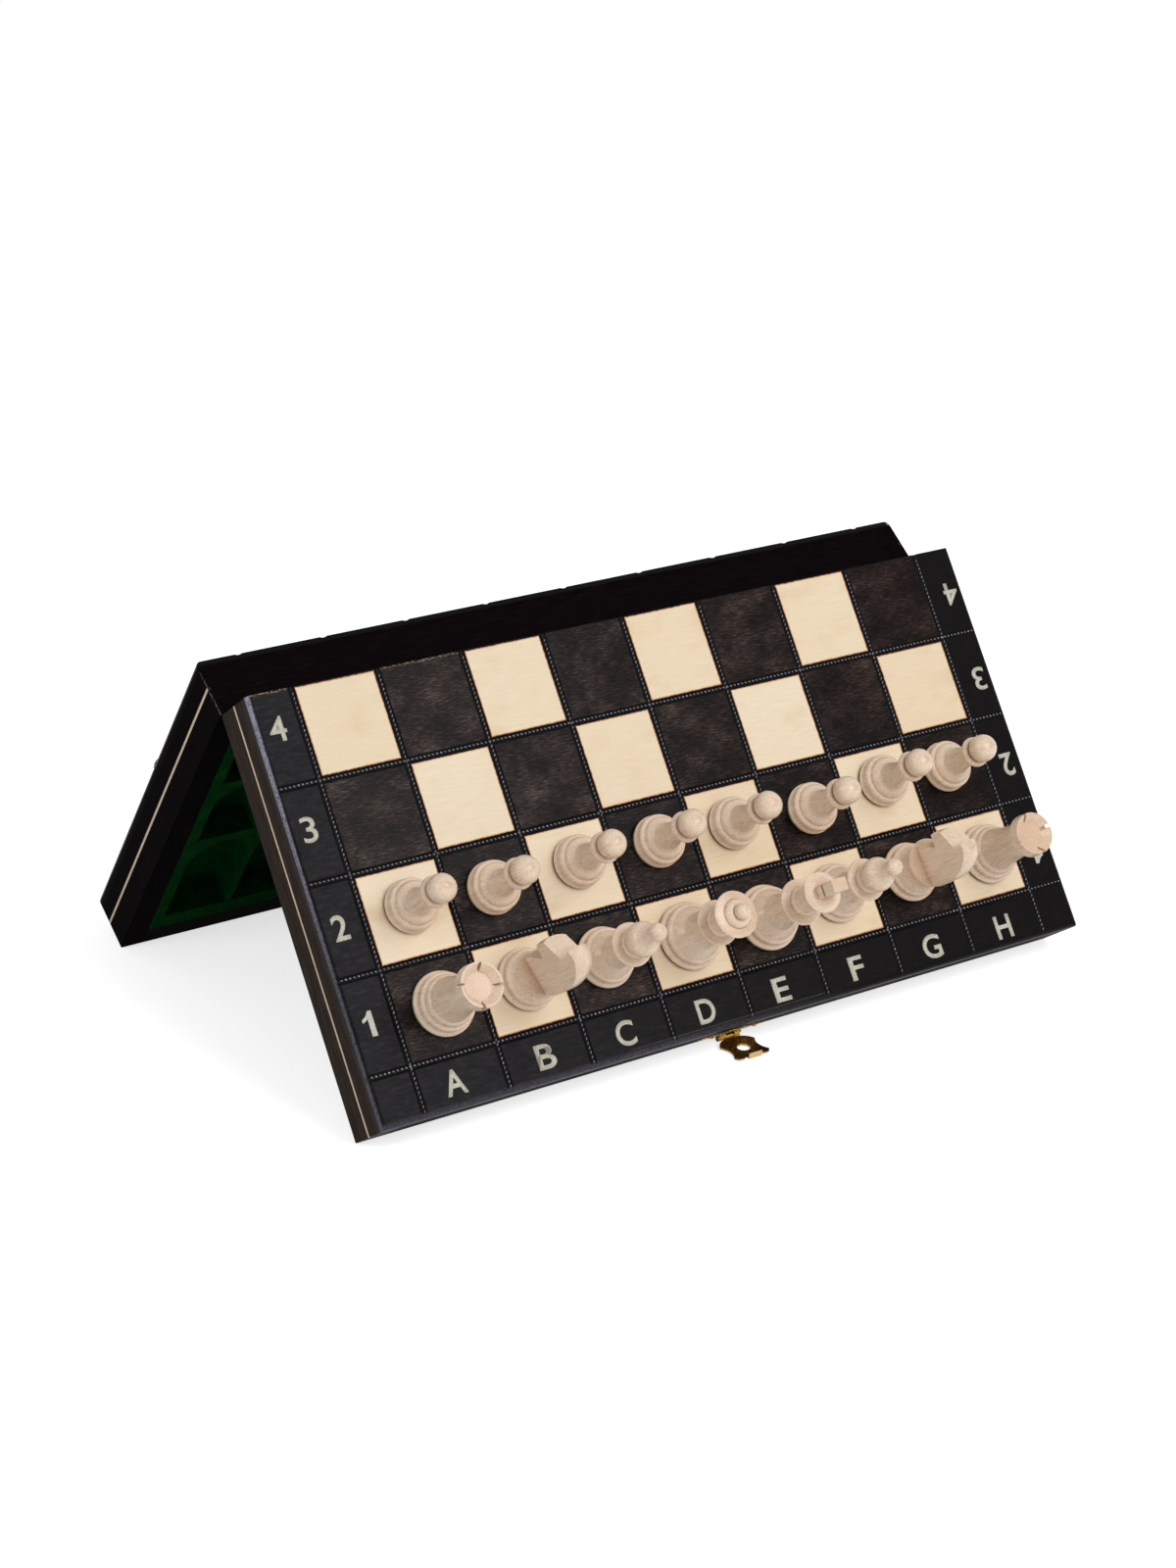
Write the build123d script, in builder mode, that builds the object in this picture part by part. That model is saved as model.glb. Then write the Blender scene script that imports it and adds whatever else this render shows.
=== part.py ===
from build123d import *

import os
from math import asin, cos, degrees, radians, sin, sqrt

os.makedirs("parts", exist_ok=True)

# Folding chessboard, stood open like a tent, millimetres.
# X runs along the hinge line from the a file to the h file, Z is up, and the origin is on
# the table, straight below the hinge. White's half is the near one, on the -Y side.

# Board
SQUARE = 31.0           # groove to groove
SIDE_BORDER = 15.5      # strip beside the a and h files
FRONT_BORDER = 16.5     # strip along the edge that opens
CASE_DEPTH = 21.0       # playing face to rim of one half
OPEN_ANGLE = 71.0       # between the two halves as they stand
PANEL = 4.0             # playing panel
PANEL_ROUND = 2.0       # its worn outer edges
GROOVE_WIDTH = 2.5      # rolled grooves round the squares
GROOVE_DEPTH = 0.4
RAIL = 8.2              # width of the frame's rails
RIM_ROUND = 0.4         # eased outer edges of the rails
STEEL = 0.5             # sheet that the magnets hold to
STEEL_FIT = 0.3         # left free round the sheet
INLAY_WIDTH = 1.0       # pale line let into the side rails
INLAY_DEPTH = 1.0

# Storage tray
CELL_DEPTH = 11.8
SHELF_DEPTH = 8.6       # shallower end that holds a figure's head
TRAY_FLOOR = 1.0
TRAY_SKIRT = 1.6
TRAY_FIT = 0.15         # left free round the tray
TRAY_MARGIN = 4.5       # flange outside the end cells
RIDGE = 2.0             # between two cells in a row
CELL_DRAFT = 2.0        # slope of the cell walls, degrees
CELL_ROUND = 2.5        # bottom edges of a cell
LONG_ROW_COUNT = 10     # in the row next to the front rail
SHORT_ROW_COUNT = 11    # in each of the two other rows
LONG_CELL = 43.4
SHORT_CELL = 30.0
KING_CELL = 48.5        # the four middle cells of the long row
KING_CELL_COUNT = 4
FRONT_FLANGE = 7.4      # front rail to the long row
ROW_GAP = 4.0           # between two rows
KING_REACH = 1.6        # king cells start this much nearer to the front rail

# Hinges
SPINE_GAP = 0.2         # between the spines when the board lies flat
RIM_GAP = 0.3           # between the rims when the case is shut
HINGE_PLACE = 85.0      # middle of the board to the middle of a hinge
HINGE_LENGTH = 25.0
KNUCKLE_COUNT = 5       # on each hinge, in turn on the near and the rear leaf
LEAF_WIDTH = 7.0
LEAF_THICK = 0.9
BARREL_RADIUS = 1.6
PIN_RADIUS = 0.8
PIN_FIT = 0.03          # round the pin in the knuckles that turn
KNUCKLE_FIT = 0.1       # at each end of a knuckle
HINGE_CLEAR = 0.3       # wood to barrel
LEAF_FIT = 0.1          # wood to the edge of a leaf
SCREW_PITCH = 8.5
SCREW_INSET = 4.3       # spine edge to the screws
SCREW_HEAD = 1.9        # radius
SCREW_SHANK = 1.0       # radius
SCREW_LENGTH = 9.0
SLOT_WIDTH = 0.5
SLOT_DEPTH = 0.4

# Latch
LATCH_PLACE = -0.7      # from the middle of the board
PLATE_LENGTH = 28.0
PLATE_HEIGHT = 6.0
PLATE_THICK = 0.4
LATCH_INSET = 3.8       # rim to the latch pin
LATCH_STANDOFF = 1.15   # wall to the latch pin
LATCH_BARREL = 1.0      # radius
LATCH_BARREL_LENGTH = 8.6
LATCH_PIN = 0.5         # radius
FLAP_KNUCKLE = 3.6
FLAP_THICK = 0.6
FLAP_LENGTH = 15.6      # pin to the end of the flap
FLAP_SHOULDER = 7.0     # half width next to the pin
FLAP_WAIST = 5.6
FLAP_LOBE = 6.9         # half width at the free end
FLAP_HOLE = 2.2         # radius
FLAP_LIP = 2.6          # half width of the finger lip
LIP_RISE = 1.5
FLAP_TABLE_GAP = 0.05   # under the flap, which lies down on the table
KNOB_INSET = 5.1        # rim of the other half to the knob
KNOB_RADIUS = 1.3
KNOB_NECK = 1.0
KNOB_HEIGHT = 1.65      # above the wall
KNOB_PULL = 0.35        # the knob sits this far outside the middle of the flap's hole
CATCH_LENGTH = 24.0
CATCH_HEIGHT = 5.6
NAIL_HEAD = 1.0         # radius
NAIL_DOME = 0.45
NAIL_SHANK = 0.45       # radius
NAIL_LENGTH = 6.0
NAIL_PLACE = 8.6        # middle of a plate to its nails

# Chess figures: radii, and heights above the face that they stand on
FELT = 0.6
MAGNET_RADIUS = 4.0
MAGNET_THICK = 2.5
FOOT_ROUND = 0.8
BASE_RING = 2.2         # height of the base ring
FOOT_GROOVE = 0.5
UPPER_RING = 2.6        # height of the ring above it
COLLAR_UNDER = 0.8      # under the widest place of a collar
COLLAR_ROUND = 0.6
NECK_STOP = 2.4         # where a neck ends under the collar
BEAD = 1.0              # width of the bead above a collar
BEAD_LOW = 1.2
BEAD_TOP = 3.0
PAWN_BASE = 8.8
PAWN_RING = 8.4
PAWN_NECK = 3.1
PAWN_STEM = 4.8         # where the stem rises from the foot
PAWN_STEM_AT = 8.4
PAWN_COLLAR = 5.2
PAWN_COLLAR_THICK = 2.3
PAWN_BALL = 4.7
PAWN_HEIGHT = 29.5
ROOK_BASE = 10.5
ROOK_RING = 9.5
ROOK_WAIST = 5.6
ROOK_CROWN = 7.2
ROOK_RIM = 7.4          # lower edge of the crown
ROOK_RIM_AT = 25.4
ROOK_CUP = 6.5
ROOK_CUP_FLOOR = 4.4
ROOK_CUP_DEPTH = 2.8
ROOK_SLOT = 1.1
ROOK_HEIGHT = 29.4
BISHOP_BASE = 10.1
BISHOP_RING = 9.1
BISHOP_NECK = 3.8
BISHOP_COLLAR = 7.2
BISHOP_HEAD = 5.7
BISHOP_BALL = 2.9
BISHOP_COLLAR_AT = 19.8
BISHOP_HEIGHT = 39.7
QUEEN_BASE = 11.3
QUEEN_RING = 10.1
QUEEN_NECK = 4.0
QUEEN_COLLAR = 7.5
QUEEN_COLLAR_AT = 19.9
QUEEN_CROWN = 7.7
QUEEN_CROWN_AT = 31.5
QUEEN_DOME = 5.0        # inside the flat rim of the crown
QUEEN_BALL = 2.6
QUEEN_HEIGHT = 38.2
KING_BASE = 11.1
KING_RING = 9.9
KING_NECK = 3.9
KING_COLLAR = 7.7
KING_COLLAR_AT = 23.1
KING_CROWN = 6.7
KING_CROWN_AT = 36.2
KING_DOME = 1.2         # height of the dome under the cross
KING_CROSS_WIDTH = 5.6
KING_CROSS_THICK = 4.2
KING_CROSS_NECK = 3.4   # inside the saw cuts round the cross
KING_CROSS_CUT = 0.9    # height of those cuts
KING_CROSS_FOOT = 3.1   # dome to those cuts
KING_HEIGHT = 46.8
KNIGHT_BASE = 10.2
KNIGHT_RING = 9.2
KNIGHT_NECK = 6.4
KNIGHT_NECK_AT = 10.3
KNIGHT_HEAD = 8.7       # radius of the turned head before it is cut
KNIGHT_HEAD_AT = 18.0   # height where the head is widest
KNIGHT_DOME_AT = 25.0   # height where its dome starts
KNIGHT_TEMPLE_AT = 31.8
KNIGHT_CROWN = 1.6      # radius of the small flat on top of the head
KNIGHT_LEFT = 3.0       # from the middle to the left cheek, which is cut deeper
KNIGHT_RIGHT = 5.0
KNIGHT_LEDGE = 14.4     # height where the flat cheeks start
KNIGHT_HEIGHT = 38.4
KNIGHT_CHEST = 7.0      # how far forward the ledge goes
KNIGHT_THROAT = (3.8, 23.8)     # forward of the middle, and above the square
KNIGHT_JAW = (6.9, 24.2)
KNIGHT_BROW = (0.4, 33.7)
KNIGHT_MUZZLE = (6.7, 30.0)
KNIGHT_EAR = (1.5, 37.4)
KNIGHT_LOWER_CUT = 2.6  # the b knights are cut this much lower than the g knights

# How far each figure stands from the middle of its square, a file to h file: towards the h
# file, and towards the spine
PAWN_DRIFT = [
    (0.5, 1.4), (-0.8, 0.5), (0.9, 1.7), (0.8, 1.7),
    (-0.4, 1.3), (0.2, -0.4), (0.7, 2.6), (-3.0, 2.0),
]
PIECE_DRIFT = [
    (1.2, 0.4), (1.2, 0.9), (-0.5, 0.9), (1.3, 0.3),
    (1.1, -0.7), (-0.5, 1.0), (-0.4, 1.3), (2.4, 0.2),
]
BLACK_PAWN_DRIFT = [
    (0.9, 0.6), (0.4, -0.5), (-0.6, 0.8), (0.3, 1.1),
    (-0.7, 0.2), (0.8, 0.9), (-0.4, -0.3), (-0.9, 1.0),
]
BLACK_DRIFT = [
    (2.2, 0.6), (0.6, -0.4), (-0.5, 0.5), (0.4, 0.8),
    (1.1, -1.1), (0.7, 0.3), (-0.8, 0.5), (-1.2, 0.2),
]

# Turn of each back-rank figure about its own axis, degrees
PIECE_TURN = [-13.0, 14.0, 0.0, 0.0, 0.0, 0.0, 5.0, 11.5]
BLACK_TURN = [8.0, -6.0, 0.0, 0.0, 0.0, 0.0, 5.0, -12.0]

# Worked out from the sizes above
lean = radians(OPEN_ANGLE / 2)
board_length = 8 * SQUARE + 2 * SIDE_BORDER
half_width = 4 * SQUARE + FRONT_BORDER
inner_length = board_length - 2 * RAIL
inner_width = half_width - 2 * RAIL
steel_level = -PANEL - STEEL
axis_y = SPINE_GAP / 2
axis_z = -CASE_DEPTH - RIM_GAP / 2
foot_top = FELT + BASE_RING + FOOT_GROOVE + UPPER_RING

# Every piece of a half is shaped lying flat: X as above, Y = 0 on the spine edge and
# -half_width on the front edge, Z = 0 on the playing face and -CASE_DEPTH on the rim.
# The near half is then put on this plane, and the rear half is its mirror image.
edge_drop = RIM_ROUND * (sin(lean) + cos(lean) - 1)
face_height = half_width * cos(lean) + CASE_DEPTH * sin(lean) - edge_drop
face_back = axis_y * sin(lean) - axis_z * cos(lean)
near_face = Plane(origin=(0, -face_back, face_height), x_dir=(1, 0, 0), z_dir=(0, -cos(lean), sin(lean)))


def seat_near(flat):
    with BuildPart(near_face) as seated:
        add(flat.part)
    return seated


def seat_rear(flat):
    near = seat_near(flat)
    with BuildPart() as seated:
        mirror(near.part, about=Plane.XZ)
    return seated


def save(piece, name):
    piece.part.label = name
    export_step(piece.part, f"parts/{name}.step")


def save_both(flat, name):
    save(seat_near(flat), f"near_{name}")
    save(seat_rear(flat), f"rear_{name}")


# Playing panel: rolled grooves between all squares, run out over the border
groove_radius = (GROOVE_WIDTH**2 / 4 + GROOVE_DEPTH**2) / (2 * GROOVE_DEPTH)
groove_height = groove_radius - GROOVE_DEPTH
file_grooves = [((i - 4) * SQUARE, -half_width / 2, groove_height) for i in range(9)]
rank_grooves = [(0, -i * SQUARE, groove_height) for i in range(1, 5)]

with BuildPart() as playing_panel:
    with Locations((0, -half_width / 2, -PANEL / 2)):
        Box(board_length, half_width, PANEL)
    upright = playing_panel.edges().filter_by(Axis.Z).group_by(Axis.Y)[0]
    fillet(upright, RIM_ROUND)
    outer = playing_panel.faces().sort_by(Axis.Z)[-1].edges()
    fillet(outer - outer.filter_by(Axis.X).sort_by(Axis.Y)[-1:], PANEL_ROUND)
    with Locations(*file_grooves):
        Cylinder(groove_radius, half_width + 2 * PANEL_ROUND, rotation=(90, 0, 0), mode=Mode.SUBTRACT)
    with Locations(*rank_grooves):
        Cylinder(groove_radius, board_length + 2 * PANEL_ROUND, rotation=(0, 90, 0), mode=Mode.SUBTRACT)
save_both(playing_panel, "playing_panel")

# Steel sheet under the panel, inside the frame
with BuildPart() as steel_sheet:
    with Locations((0, -half_width / 2, steel_level + STEEL / 2)):
        Box(inner_length - 2 * STEEL_FIT, inner_width - 2 * STEEL_FIT, STEEL)
save_both(steel_sheet, "steel_sheet")

# Side rails run the whole width of a half and carry the pale line at half depth
rail_height = CASE_DEPTH - PANEL
rail_middle = -PANEL - rail_height / 2
side_rail_x = (board_length - RAIL) / 2
inlay_x = (board_length - INLAY_DEPTH) / 2
inlay_z = -CASE_DEPTH / 2


def side_rail(side):
    with BuildPart() as rail:
        with Locations((side * side_rail_x, -half_width / 2, rail_middle)):
            Box(RAIL, half_width, rail_height)
        outer_face = rail.faces().sort_by(Axis.X)[-1 if side > 0 else 0]
        rim_edge = outer_face.edges().filter_by(Axis.Y).sort_by(Axis.Z)[0]
        corner = outer_face.edges().filter_by(Axis.Z).sort_by(Axis.Y)[0]
        front_edge = rail.edges().filter_by(Axis.X).group_by(Axis.Y)[0].sort_by(Axis.Z)[0]
        fillet([rim_edge, corner, front_edge], RIM_ROUND)
        with Locations((side * inlay_x, -half_width / 2, inlay_z)):
            Box(INLAY_DEPTH, half_width, INLAY_WIDTH, mode=Mode.SUBTRACT)
    return rail


save_both(side_rail(-1), "left_rail")
save_both(side_rail(1), "right_rail")

with BuildPart() as inlay_lines:
    with Locations((-inlay_x, -half_width / 2, inlay_z), (inlay_x, -half_width / 2, inlay_z)):
        Box(INLAY_DEPTH, half_width, INLAY_WIDTH)
    front_corners = inlay_lines.edges().filter_by(Axis.Z).group_by(Axis.Y)[0].sort_by(Axis.X)
    fillet([front_corners[0], front_corners[-1]], RIM_ROUND)
save_both(inlay_lines, "inlay_lines")

# Storage tray: a flange level with the rim, cells with an arch towards the spine, and a
# skirt that stands on the steel sheet
long_width = (inner_length - 2 * TRAY_MARGIN - (LONG_ROW_COUNT - 1) * RIDGE) / LONG_ROW_COUNT
short_width = (inner_length - 2 * TRAY_MARGIN - (SHORT_ROW_COUNT - 1) * RIDGE) / SHORT_ROW_COUNT
long_start = -half_width + RAIL + FRONT_FLANGE
king_start = long_start - KING_REACH
middle_start = long_start + LONG_CELL + ROW_GAP
spine_start = middle_start + SHORT_CELL + ROW_GAP
crowded_start = king_start + KING_CELL + RIDGE
tray_block = CELL_DEPTH + TRAY_FLOOR
tray_length = inner_length - 2 * TRAY_FIT
tray_width = inner_width - 2 * TRAY_FIT
skirt_height = CASE_DEPTH + steel_level - tray_block


def storage_cell(width, length):
    """One cell, mouth down on Z = 0, from its flat end at Y = 0 to the top of its arch."""
    with BuildPart() as cell:
        with BuildSketch():
            with BuildLine():
                flat_end = Line((-width / 2, 0), (width / 2, 0))
                right_side = Line(flat_end @ 1, (width / 2, length - width / 2))
                arch = ThreePointArc(right_side @ 1, (0, length), (-width / 2, length - width / 2))
                Line(arch @ 1, flat_end @ 0)
            make_face()
        extrude(amount=CELL_DEPTH, taper=CELL_DRAFT)
        fillet(cell.faces().sort_by(Axis.Z)[-1].edges(), CELL_ROUND)
        with Locations((0, length - width / 2, SHELF_DEPTH)):
            Box(width, width, CELL_DEPTH, align=(Align.CENTER, Align.MIN, Align.MIN), mode=Mode.SUBTRACT)
    return cell


def cell_places(count, width, start, wanted):
    pitch = width + RIDGE
    return [((i - (count - 1) / 2) * pitch, start, -CASE_DEPTH) for i in range(count) if wanted(i)]


first_king = (LONG_ROW_COUNT - KING_CELL_COUNT) // 2
king_reach_x = KING_CELL_COUNT / 2 * (long_width + RIDGE)


def is_king_cell(i):
    return first_king <= i < first_king + KING_CELL_COUNT


def is_crowded(i):
    """A cell of the middle row that lies behind the king cells."""
    pitch = short_width + RIDGE
    return abs(i - (SHORT_ROW_COUNT - 1) / 2) * pitch < king_reach_x + short_width / 2


long_cell = storage_cell(long_width, LONG_CELL)
king_cell = storage_cell(long_width, KING_CELL)
short_cell = storage_cell(short_width, SHORT_CELL)

with BuildPart() as tray:
    with Locations((0, -half_width / 2, -CASE_DEPTH)):
        Box(tray_length, tray_width, tray_block, align=(Align.CENTER, Align.CENTER, Align.MIN))
    with BuildSketch(Plane.XY.offset(-CASE_DEPTH + tray_block)):
        with Locations((0, -half_width / 2)):
            Rectangle(tray_length, tray_width)
            Rectangle(tray_length - 2 * TRAY_SKIRT, tray_width - 2 * TRAY_SKIRT, mode=Mode.SUBTRACT)
    extrude(amount=skirt_height)
    with Locations(*cell_places(LONG_ROW_COUNT, long_width, long_start, lambda i: not is_king_cell(i))):
        add(long_cell.part, mode=Mode.SUBTRACT)
    with Locations(*cell_places(LONG_ROW_COUNT, long_width, king_start, is_king_cell)):
        add(king_cell.part, mode=Mode.SUBTRACT)
    with Locations(*cell_places(SHORT_ROW_COUNT, short_width, middle_start, lambda i: not is_crowded(i))):
        add(short_cell.part, mode=Mode.SUBTRACT)
    with Locations(*cell_places(SHORT_ROW_COUNT, short_width, crowded_start, is_crowded)):
        add(short_cell.part, mode=Mode.SUBTRACT)
    with Locations(*cell_places(SHORT_ROW_COUNT, short_width, spine_start, lambda i: True)):
        add(short_cell.part, mode=Mode.SUBTRACT)
save_both(tray, "tray")

# Butt hinges let into the rims of the two spine rails, with their barrel between the spines
hinge_places = [-HINGE_PLACE, HINGE_PLACE]
knuckle_pitch = HINGE_LENGTH / KNUCKLE_COUNT
knuckles = [(i - (KNUCKLE_COUNT - 1) / 2) * knuckle_pitch for i in range(KNUCKLE_COUNT)]
near_knuckles = knuckles[0::2]
rear_knuckles = knuckles[1::2]
barrel_space = BARREL_RADIUS + HINGE_CLEAR
leaf_space = HINGE_LENGTH + 2 * LEAF_FIT
screw_places = [(x + i * SCREW_PITCH, -SCREW_INSET, -CASE_DEPTH) for x in hinge_places for i in (-1, 0, 1)]


def on_axis(shifts):
    return [(x + shift, axis_y, axis_z) for x in hinge_places for shift in shifts]


with BuildPart() as screw_space:
    with BuildSketch(Plane.XZ):
        Polygon(
            (0, 0),
            (SCREW_HEAD, 0),
            (SCREW_SHANK, SCREW_HEAD - SCREW_SHANK),
            (SCREW_SHANK, SCREW_LENGTH - 2 * SCREW_SHANK),
            (0, SCREW_LENGTH),
            align=None,
        )
    revolve(axis=Axis.Z)

with BuildPart() as screw:
    add(screw_space.part)
    Box(2 * SCREW_HEAD, SLOT_WIDTH, 2 * SLOT_DEPTH, mode=Mode.SUBTRACT)

with BuildPart() as screws:
    with Locations(*screw_places):
        add(screw.part)
save(seat_near(screws), "hinge_near_screws")
save(seat_rear(screws), "hinge_rear_screws")


def hinge_leaves(own, others, bore):
    with BuildPart() as leaves:
        with Locations(*[(x, axis_y, -CASE_DEPTH) for x in hinge_places]):
            Box(HINGE_LENGTH, LEAF_WIDTH + axis_y, LEAF_THICK, align=(Align.CENTER, Align.MAX, Align.MIN))
        with Locations(*on_axis(others)):
            Cylinder(barrel_space, knuckle_pitch, rotation=(0, 90, 0), mode=Mode.SUBTRACT)
        with Locations(*on_axis(own)):
            Cylinder(BARREL_RADIUS, knuckle_pitch - 2 * KNUCKLE_FIT, rotation=(0, 90, 0))
        with Locations(*on_axis([0])):
            Cylinder(bore, HINGE_LENGTH, rotation=(0, 90, 0), mode=Mode.SUBTRACT)
        with Locations(*screw_places):
            add(screw_space.part, mode=Mode.SUBTRACT)
    return leaves


save(seat_near(hinge_leaves(near_knuckles, rear_knuckles, PIN_RADIUS)), "hinge_near_leaves")
save(seat_rear(hinge_leaves(rear_knuckles, near_knuckles, PIN_RADIUS + PIN_FIT)), "hinge_rear_leaves")

with BuildPart() as hinge_pins:
    with Locations(*on_axis([0])):
        Cylinder(PIN_RADIUS, HINGE_LENGTH - 2 * KNUCKLE_FIT, rotation=(0, 90, 0))
save(seat_near(hinge_pins), "hinge_pins")

with BuildPart() as spine_rail:
    with Locations((0, -RAIL / 2, rail_middle)):
        Box(inner_length, RAIL, rail_height)
    with Locations(*[(x, 0, -CASE_DEPTH) for x in hinge_places]):
        Box(leaf_space, 2 * (LEAF_WIDTH + LEAF_FIT), 2 * LEAF_THICK, mode=Mode.SUBTRACT)
    with Locations(*on_axis([0])):
        Cylinder(barrel_space, leaf_space, rotation=(0, 90, 0), mode=Mode.SUBTRACT)
    with Locations(*screw_places):
        add(screw_space.part, mode=Mode.SUBTRACT)
save_both(spine_rail, "spine_rail")

# Latch: a nailed plate with two knuckles on the near half, a flap that turns on its pin, and
# a plate with a knob on the rear half
latch_level = -CASE_DEPTH + LATCH_INSET
latch_out = -half_width - LATCH_STANDOFF
plate_level = latch_level + LATCH_BARREL + PLATE_HEIGHT / 2
catch_level = -CASE_DEPTH + KNOB_INSET
plate_nails = [(LATCH_PLACE - NAIL_PLACE, plate_level), (LATCH_PLACE + NAIL_PLACE, plate_level)]
catch_nail_places = [(LATCH_PLACE - NAIL_PLACE, catch_level), (LATCH_PLACE + NAIL_PLACE, catch_level)]
front_wall = Plane(origin=(0, -half_width, 0), x_dir=(1, 0, 0), z_dir=(0, -1, 0))
end_knuckle = (LATCH_BARREL_LENGTH - FLAP_KNUCKLE) / 2
end_knuckle_x = (LATCH_BARREL_LENGTH - end_knuckle) / 2


def pointed_plate(length, height):
    """Plate outline with two drawn-out points."""
    shoulder = length / 2 - 1.5 * height
    with BuildSketch() as outline:
        with BuildLine():
            for side in (-1, 1):
                for up in (-1, 1):
                    ThreePointArc(
                        (side * length / 2, 0),
                        (side * (shoulder + height * 0.6), up * height * 0.2),
                        (side * shoulder, up * height / 2),
                    )
                Line((-shoulder, side * height / 2), (shoulder, side * height / 2))
        make_face()
    return outline


dome_radius = (NAIL_HEAD**2 + NAIL_DOME**2) / (2 * NAIL_DOME)
with BuildPart() as nail:
    with BuildSketch(Plane.XZ):
        with BuildLine():
            flat_side = Line((NAIL_SHANK, 0), (NAIL_HEAD, 0))
            dome = RadiusArc(flat_side @ 1, (0, -NAIL_DOME), dome_radius)
            middle = Line(dome @ 1, (0, NAIL_LENGTH))
            Polyline(middle @ 1, (NAIL_SHANK, NAIL_LENGTH - 2 * NAIL_SHANK), flat_side @ 0)
        make_face()
    revolve(axis=Axis.Z)


def nail_seats(places, out):
    return [Location((x, -half_width - out, z), (-90, 0, 0)) for x, z in places]


def nails(places):
    with BuildPart() as pair:
        with Locations(*nail_seats(places, PLATE_THICK)):
            add(nail.part)
    return pair


save(seat_near(nails(plate_nails)), "latch_nails")
save(seat_rear(nails(catch_nail_places)), "catch_nails")

with BuildPart() as latch_plate:
    with BuildSketch(front_wall):
        with Locations((LATCH_PLACE, plate_level)):
            add(pointed_plate(PLATE_LENGTH, PLATE_HEIGHT).sketch)
    extrude(amount=PLATE_THICK)
    for side in (-1, 1):
        with Locations((LATCH_PLACE + side * end_knuckle_x, -half_width, latch_level)):
            Box(end_knuckle, LATCH_STANDOFF, 2 * LATCH_BARREL, align=(Align.CENTER, Align.MAX, Align.MIN))
        with Locations((LATCH_PLACE + side * end_knuckle_x, latch_out, latch_level)):
            Cylinder(LATCH_BARREL, end_knuckle, rotation=(0, 90, 0))
    with Locations((LATCH_PLACE, latch_out, latch_level)):
        Cylinder(LATCH_PIN, LATCH_BARREL_LENGTH, rotation=(0, 90, 0), mode=Mode.SUBTRACT)
    with Locations(*nail_seats(plate_nails, PLATE_THICK)):
        Cylinder(NAIL_SHANK, 2 * NAIL_LENGTH, mode=Mode.SUBTRACT)
save(seat_near(latch_plate), "latch_plate")

with BuildPart() as latch_pin:
    with Locations((LATCH_PLACE, latch_out, latch_level)):
        Cylinder(LATCH_PIN, LATCH_BARREL_LENGTH, rotation=(0, 90, 0))
save(seat_near(latch_pin), "latch_pin")

# The flap is shaped with its pin along X through the origin and its free end towards -Y. It
# hangs from the near half and lies out over the table.
neck_width = FLAP_KNUCKLE / 2 - KNUCKLE_FIT
with BuildSketch() as flap_outline:
    with BuildLine():
        pin_line = Line((0, 0), (neck_width, 0))
        neck = Line(pin_line @ 1, (neck_width, -1.3 * LATCH_BARREL))
        shoulder_middle = (FLAP_SHOULDER * 0.6, -0.14 * FLAP_LENGTH)
        shoulder = ThreePointArc(neck @ 1, shoulder_middle, (FLAP_SHOULDER, -0.35 * FLAP_LENGTH))
        waist = ThreePointArc(
            shoulder @ 1,
            (FLAP_WAIST, -0.6 * FLAP_LENGTH),
            (FLAP_LOBE, -0.85 * FLAP_LENGTH),
        )
        lobe = ThreePointArc(
            waist @ 1,
            (FLAP_LOBE * 0.76, -0.97 * FLAP_LENGTH),
            (FLAP_LIP + 0.4, -0.92 * FLAP_LENGTH),
        )
        notch = Polyline(
            lobe @ 1,
            (FLAP_LIP, -0.9 * FLAP_LENGTH),
            (FLAP_LIP, -FLAP_LENGTH),
            (0, -FLAP_LENGTH),
        )
        Line(notch @ 1, pin_line @ 0)
    make_face()
    mirror(about=Plane.YZ)

flap_hole_at = LATCH_INSET + RIM_GAP + KNOB_INSET - KNOB_PULL
with BuildPart() as latch_flap_flat:
    with BuildSketch():
        add(flap_outline.sketch)
        with Locations((0, -flap_hole_at)):
            Circle(FLAP_HOLE, mode=Mode.SUBTRACT)
    extrude(amount=-FLAP_THICK)
    with Locations((0, -FLAP_LENGTH, -FLAP_THICK)):
        Box(2 * FLAP_LIP, FLAP_THICK, FLAP_THICK + LIP_RISE, align=(Align.CENTER, Align.MIN, Align.MIN))
    Cylinder(LATCH_BARREL, FLAP_KNUCKLE - 2 * KNUCKLE_FIT, rotation=(0, 90, 0))
    Cylinder(LATCH_PIN + PIN_FIT, FLAP_KNUCKLE, rotation=(0, 90, 0), mode=Mode.SUBTRACT)

flap_pin = near_face.from_local_coords(Vector(LATCH_PLACE, latch_out, latch_level))
flap_dip = asin((flap_pin.Z - FLAP_THICK - FLAP_TABLE_GAP) / FLAP_LENGTH)
flap_plane = Plane(origin=flap_pin, x_dir=(1, 0, 0), z_dir=(0, -sin(flap_dip), cos(flap_dip)))
with BuildPart(flap_plane) as latch_flap:
    add(latch_flap_flat.part)
save(latch_flap, "latch_flap")

with BuildPart() as catch_plate:
    with BuildSketch(front_wall):
        with Locations((LATCH_PLACE, catch_level)):
            add(pointed_plate(CATCH_LENGTH, CATCH_HEIGHT).sketch)
    extrude(amount=PLATE_THICK)
    with Locations(Location((LATCH_PLACE, -half_width, catch_level), (90, 0, 0))):
        Cylinder(KNOB_NECK, KNOB_HEIGHT, align=(Align.CENTER, Align.CENTER, Align.MIN))
    with Locations(Location((LATCH_PLACE, -half_width - KNOB_HEIGHT, catch_level), (90, 0, 0))):
        Cylinder(KNOB_RADIUS, KNOB_HEIGHT / 3, align=(Align.CENTER, Align.CENTER, Align.MAX))
    fillet(catch_plate.faces().sort_by(Axis.Y)[0].edges(), KNOB_HEIGHT / 6)
    with Locations(*nail_seats(catch_nail_places, PLATE_THICK)):
        Cylinder(NAIL_SHANK, 2 * NAIL_LENGTH, mode=Mode.SUBTRACT)
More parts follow.
